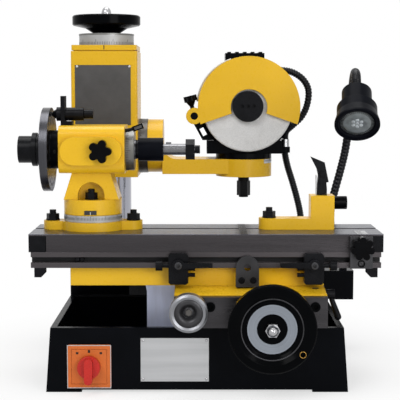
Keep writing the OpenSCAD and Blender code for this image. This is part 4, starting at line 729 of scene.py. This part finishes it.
lever_r, lever_z = 8.5, mid("left_lever")[2]
lever_screw_y, lever_screw_r, lever_screw_h = -182.8, 5.4, 2.4
lever_socket_r, socket_t = 2.9, 0.1
lever_screw_xs = {"left_clamp": low("left_lever")[0] + lever_r,
                  "right_clamp": high("right_lever")[0] - lever_r}
clamp_screw_r, clamp_screw_h, clamp_screw_up, clamp_screw_y = 5.0, 3.0, 7, -166.2
bracket_screw_r, bracket_screw_l, bracket_screw_y = 4.6, 5, -166.0
bracket_screw_side, bracket_screw_up = 8.5, 10
for body, x in lever_screw_xs.items():
    place = (x, lever_screw_y, lever_z)
    round_bar(f"{body}_screw", lever_screw_r, lever_screw_h, place, FRONT, TOOL, body)
    turned(f"{body}_socket", washer(CORE, lever_socket_r, lever_screw_h, lever_screw_h + socket_t), place,
           FRONT, MARK, body, sides=6)
domed("clamp_screw", clamp_screw_r, clamp_screw_h,
      (mid("clamp_plate")[0], clamp_screw_y, low("clamp_plate")[2] + clamp_screw_up), FRONT, TOOL, "table")
bracket_x, bracket_screw_z = mid("centre_bracket")[0], low("centre_bracket")[2] + bracket_screw_up
for i, x in enumerate((bracket_x - bracket_screw_side, bracket_x + bracket_screw_side)):
    round_bar(f"bracket_screw_{i}", bracket_screw_r, bracket_screw_l,
              (x, bracket_screw_y, bracket_screw_z), FRONT, DARK, "saddle")

# Tooth rest: leaf spring

leaf_spring = ((180.8, -95, 272), (182.3, -88, 309))
slabs("leaf_spring", [leaf_spring], SILVER, "rest_holder")

# Lamp: bezel, lens, flutes of the reflector, beads

lamp_tilt, lamp_yaw = math.radians(-46), math.radians(4.4)
lamp_at = Vector((235, -150, 389))
bezel_profile = [(25.2, -0.5), (31.2, -2.7), (31.2, -0.6), (25.2, 1.4)]
lens_profile = [(CORE, 2.2), (25.3, 2.2), (25.3, 1.2), (18, 0.5), (9, 0.2), (CORE, 0.1)]
flute_r, flute_n, flute_w, flute_t = (20.5, 24.8), 48, 0.8, 0.8
bead_r, bead_h, bead_ring_r, bead_ring_n, bead_up = 3.0, 1.4, 6.6, 6, 0.4
lamp_axis = Matrix.Rotation(lamp_tilt, 3, "X") @ Matrix.Rotation(lamp_yaw, 3, "Y") @ Vector(UP)
turned("lamp_bezel", bezel_profile, lamp_at, lamp_axis, SATIN, "machine_base", sides=72)
turned("lamp_lens", lens_profile, lamp_at, lamp_axis, LENS, "machine_base", sides=72)
rays("lamp_flutes", *flute_r, flute_n, flute_w, flute_t, lamp_at, lamp_axis, MARK, "machine_base")
first, second, along = basis(lamp_axis)
bead_turns = [2 * math.pi * i / bead_ring_n for i in range(bead_ring_n)]
bead_places = [spoke(first, second, turn)[0] * bead_ring_r for turn in bead_turns] + [Vector((0, 0, 0))]
for i, place in enumerate(bead_places):
    domed(f"lamp_bead_{i}", bead_r, bead_h, lamp_at + place + along * bead_up, -along, GLASS,
          "machine_base")

# Stage, light and camera, in metres

FLOOR_COLOR, FLOOR_SHADE = (0.93, 0.93, 0.93), 0.99
FLOOR_ROUGH, FLOOR_SPEC, FLOOR_GRAIN = 0.9, 0.1, 3.0
# Distances from the origin between which the floor fades to white, and how white it is within them
FADE_FROM, FADE_TO, FADE_LEAST = 0.24, 0.5, 0.62
SKY_LIGHT = 0.32


def seen_rays(tree):
    """1 for the rays that show the background: from the camera, off a mirror or through glass."""
    ray = tree.nodes.new("ShaderNodeLightPath")
    total = ray.outputs["Is Camera Ray"]
    for kind in ("Is Glossy Ray", "Is Transmission Ray"):
        most = add(tree, "ShaderNodeMath", operation="MAXIMUM")
        tree.links.new(total, most.inputs[0])
        tree.links.new(ray.outputs[kind], most.inputs[1])
        total = most.outputs["Value"]
    return total


def floor_look(name, color):
    """A pale floor that fades to the white of the background away from the object's shadow."""
    m = bpy.data.materials.new(name)
    m.use_nodes = True
    tree = m.node_tree
    link = tree.links.new
    shader = tree.nodes["Principled BSDF"]
    shader.inputs["Roughness"].default_value = FLOOR_ROUGH
    shader.inputs["Specular IOR Level"].default_value = FLOOR_SPEC
    noise = add(tree, "ShaderNodeTexNoise", {"Scale": FLOOR_GRAIN})
    tone = ramp(tree, noise.outputs["Fac"], (0, 1), [c * FLOOR_SHADE for c in color], color)
    link(tone, shader.inputs["Base Color"])
    glow = add(tree, "ShaderNodeEmission")
    place = add(tree, "ShaderNodeTexCoord")
    reach = add(tree, "ShaderNodeVectorMath", operation="LENGTH")
    link(place.outputs["Object"], reach.inputs[0])
    fade_span = {"From Min": FADE_FROM, "From Max": FADE_TO, "To Min": FADE_LEAST}
    fade = add(tree, "ShaderNodeMapRange", fade_span)
    link(reach.outputs["Value"], fade.inputs["Value"])
    share = add(tree, "ShaderNodeMath", operation="MULTIPLY")
    link(fade.outputs["Result"], share.inputs[0])
    link(seen_rays(tree), share.inputs[1])
    both = add(tree, "ShaderNodeMixShader")
    link(share.outputs["Value"], both.inputs["Fac"])
    link(shader.outputs["BSDF"], both.inputs[1])
    link(glow.outputs["Emission"], both.inputs[2])
    link(both.outputs["Shader"], tree.nodes["Material Output"].inputs["Surface"])
    return m


def lamp(name, place, aim, size, power):
    """A soft rectangular light."""
    data = bpy.data.lights.new(name, "AREA")
    data.shape = "RECTANGLE"
    data.size, data.size_y = size
    data.energy = power
    obj = bpy.data.objects.new(name, data)
    obj.location = place
    obj.rotation_euler = (Vector(aim) - Vector(place)).to_track_quat("-Z", "Y").to_euler()
    scene.collection.objects.link(obj)


floor_side, floor_near, floor_far = 6, -3, 6
floor_mesh = bpy.data.meshes.new("floor")
floor_corners = [(-floor_side, floor_near, 0), (floor_side, floor_near, 0), (floor_side, floor_far, 0),
                 (-floor_side, floor_far, 0)]
floor_mesh.from_pydata(floor_corners, [], [[0, 1, 2, 3]])
floor_mesh.materials.append(floor_look("floor_white", FLOOR_COLOR))
floor = bpy.data.objects.new("floor", floor_mesh)
scene.collection.objects.link(floor)

world = bpy.data.worlds.new("studio")
scene.world = world
world.use_nodes = True
sky = world.node_tree.nodes["Background"]
sky.inputs["Color"].default_value = [*WHITE, 1]
level = add(world.node_tree, "ShaderNodeMapRange", {"To Min": SKY_LIGHT, "To Max": 1.0})
world.node_tree.links.new(seen_rays(world.node_tree), level.inputs["Value"])
world.node_tree.links.new(level.outputs["Result"], sky.inputs["Strength"])

lamp("key", place=(-0.9, -1.6, 1.7), aim=(0, 0, 0.25), size=(1.0, 1.0), power=18.5)
lamp("fill", place=(0.9, -1.7, 0.7), aim=(0, 0, 0.2), size=(1.0, 1.0), power=15)
lamp("top", place=(0.0, 0.2, 1.9), aim=(0, 0, 0.2), size=(1.4, 1.0), power=20)

# Focal length in pixels of the photo, the photo's width, and how far the camera looks down in degrees
focal_px, photo_px, camera_down = 1130, 400, 5.6
camera_data = bpy.data.cameras.new("camera")
camera_data.sensor_width = 36
camera_data.lens = focal_px / photo_px * camera_data.sensor_width
camera_data.clip_end = 50
camera = bpy.data.objects.new("camera", camera_data)
camera.location = (0.0042, -1.8116, 0.4392)
camera.rotation_euler = (math.radians(90 - camera_down), 0, 0)
scene.collection.objects.link(camera)
scene.camera = camera
scene.view_settings.view_transform = "Standard"
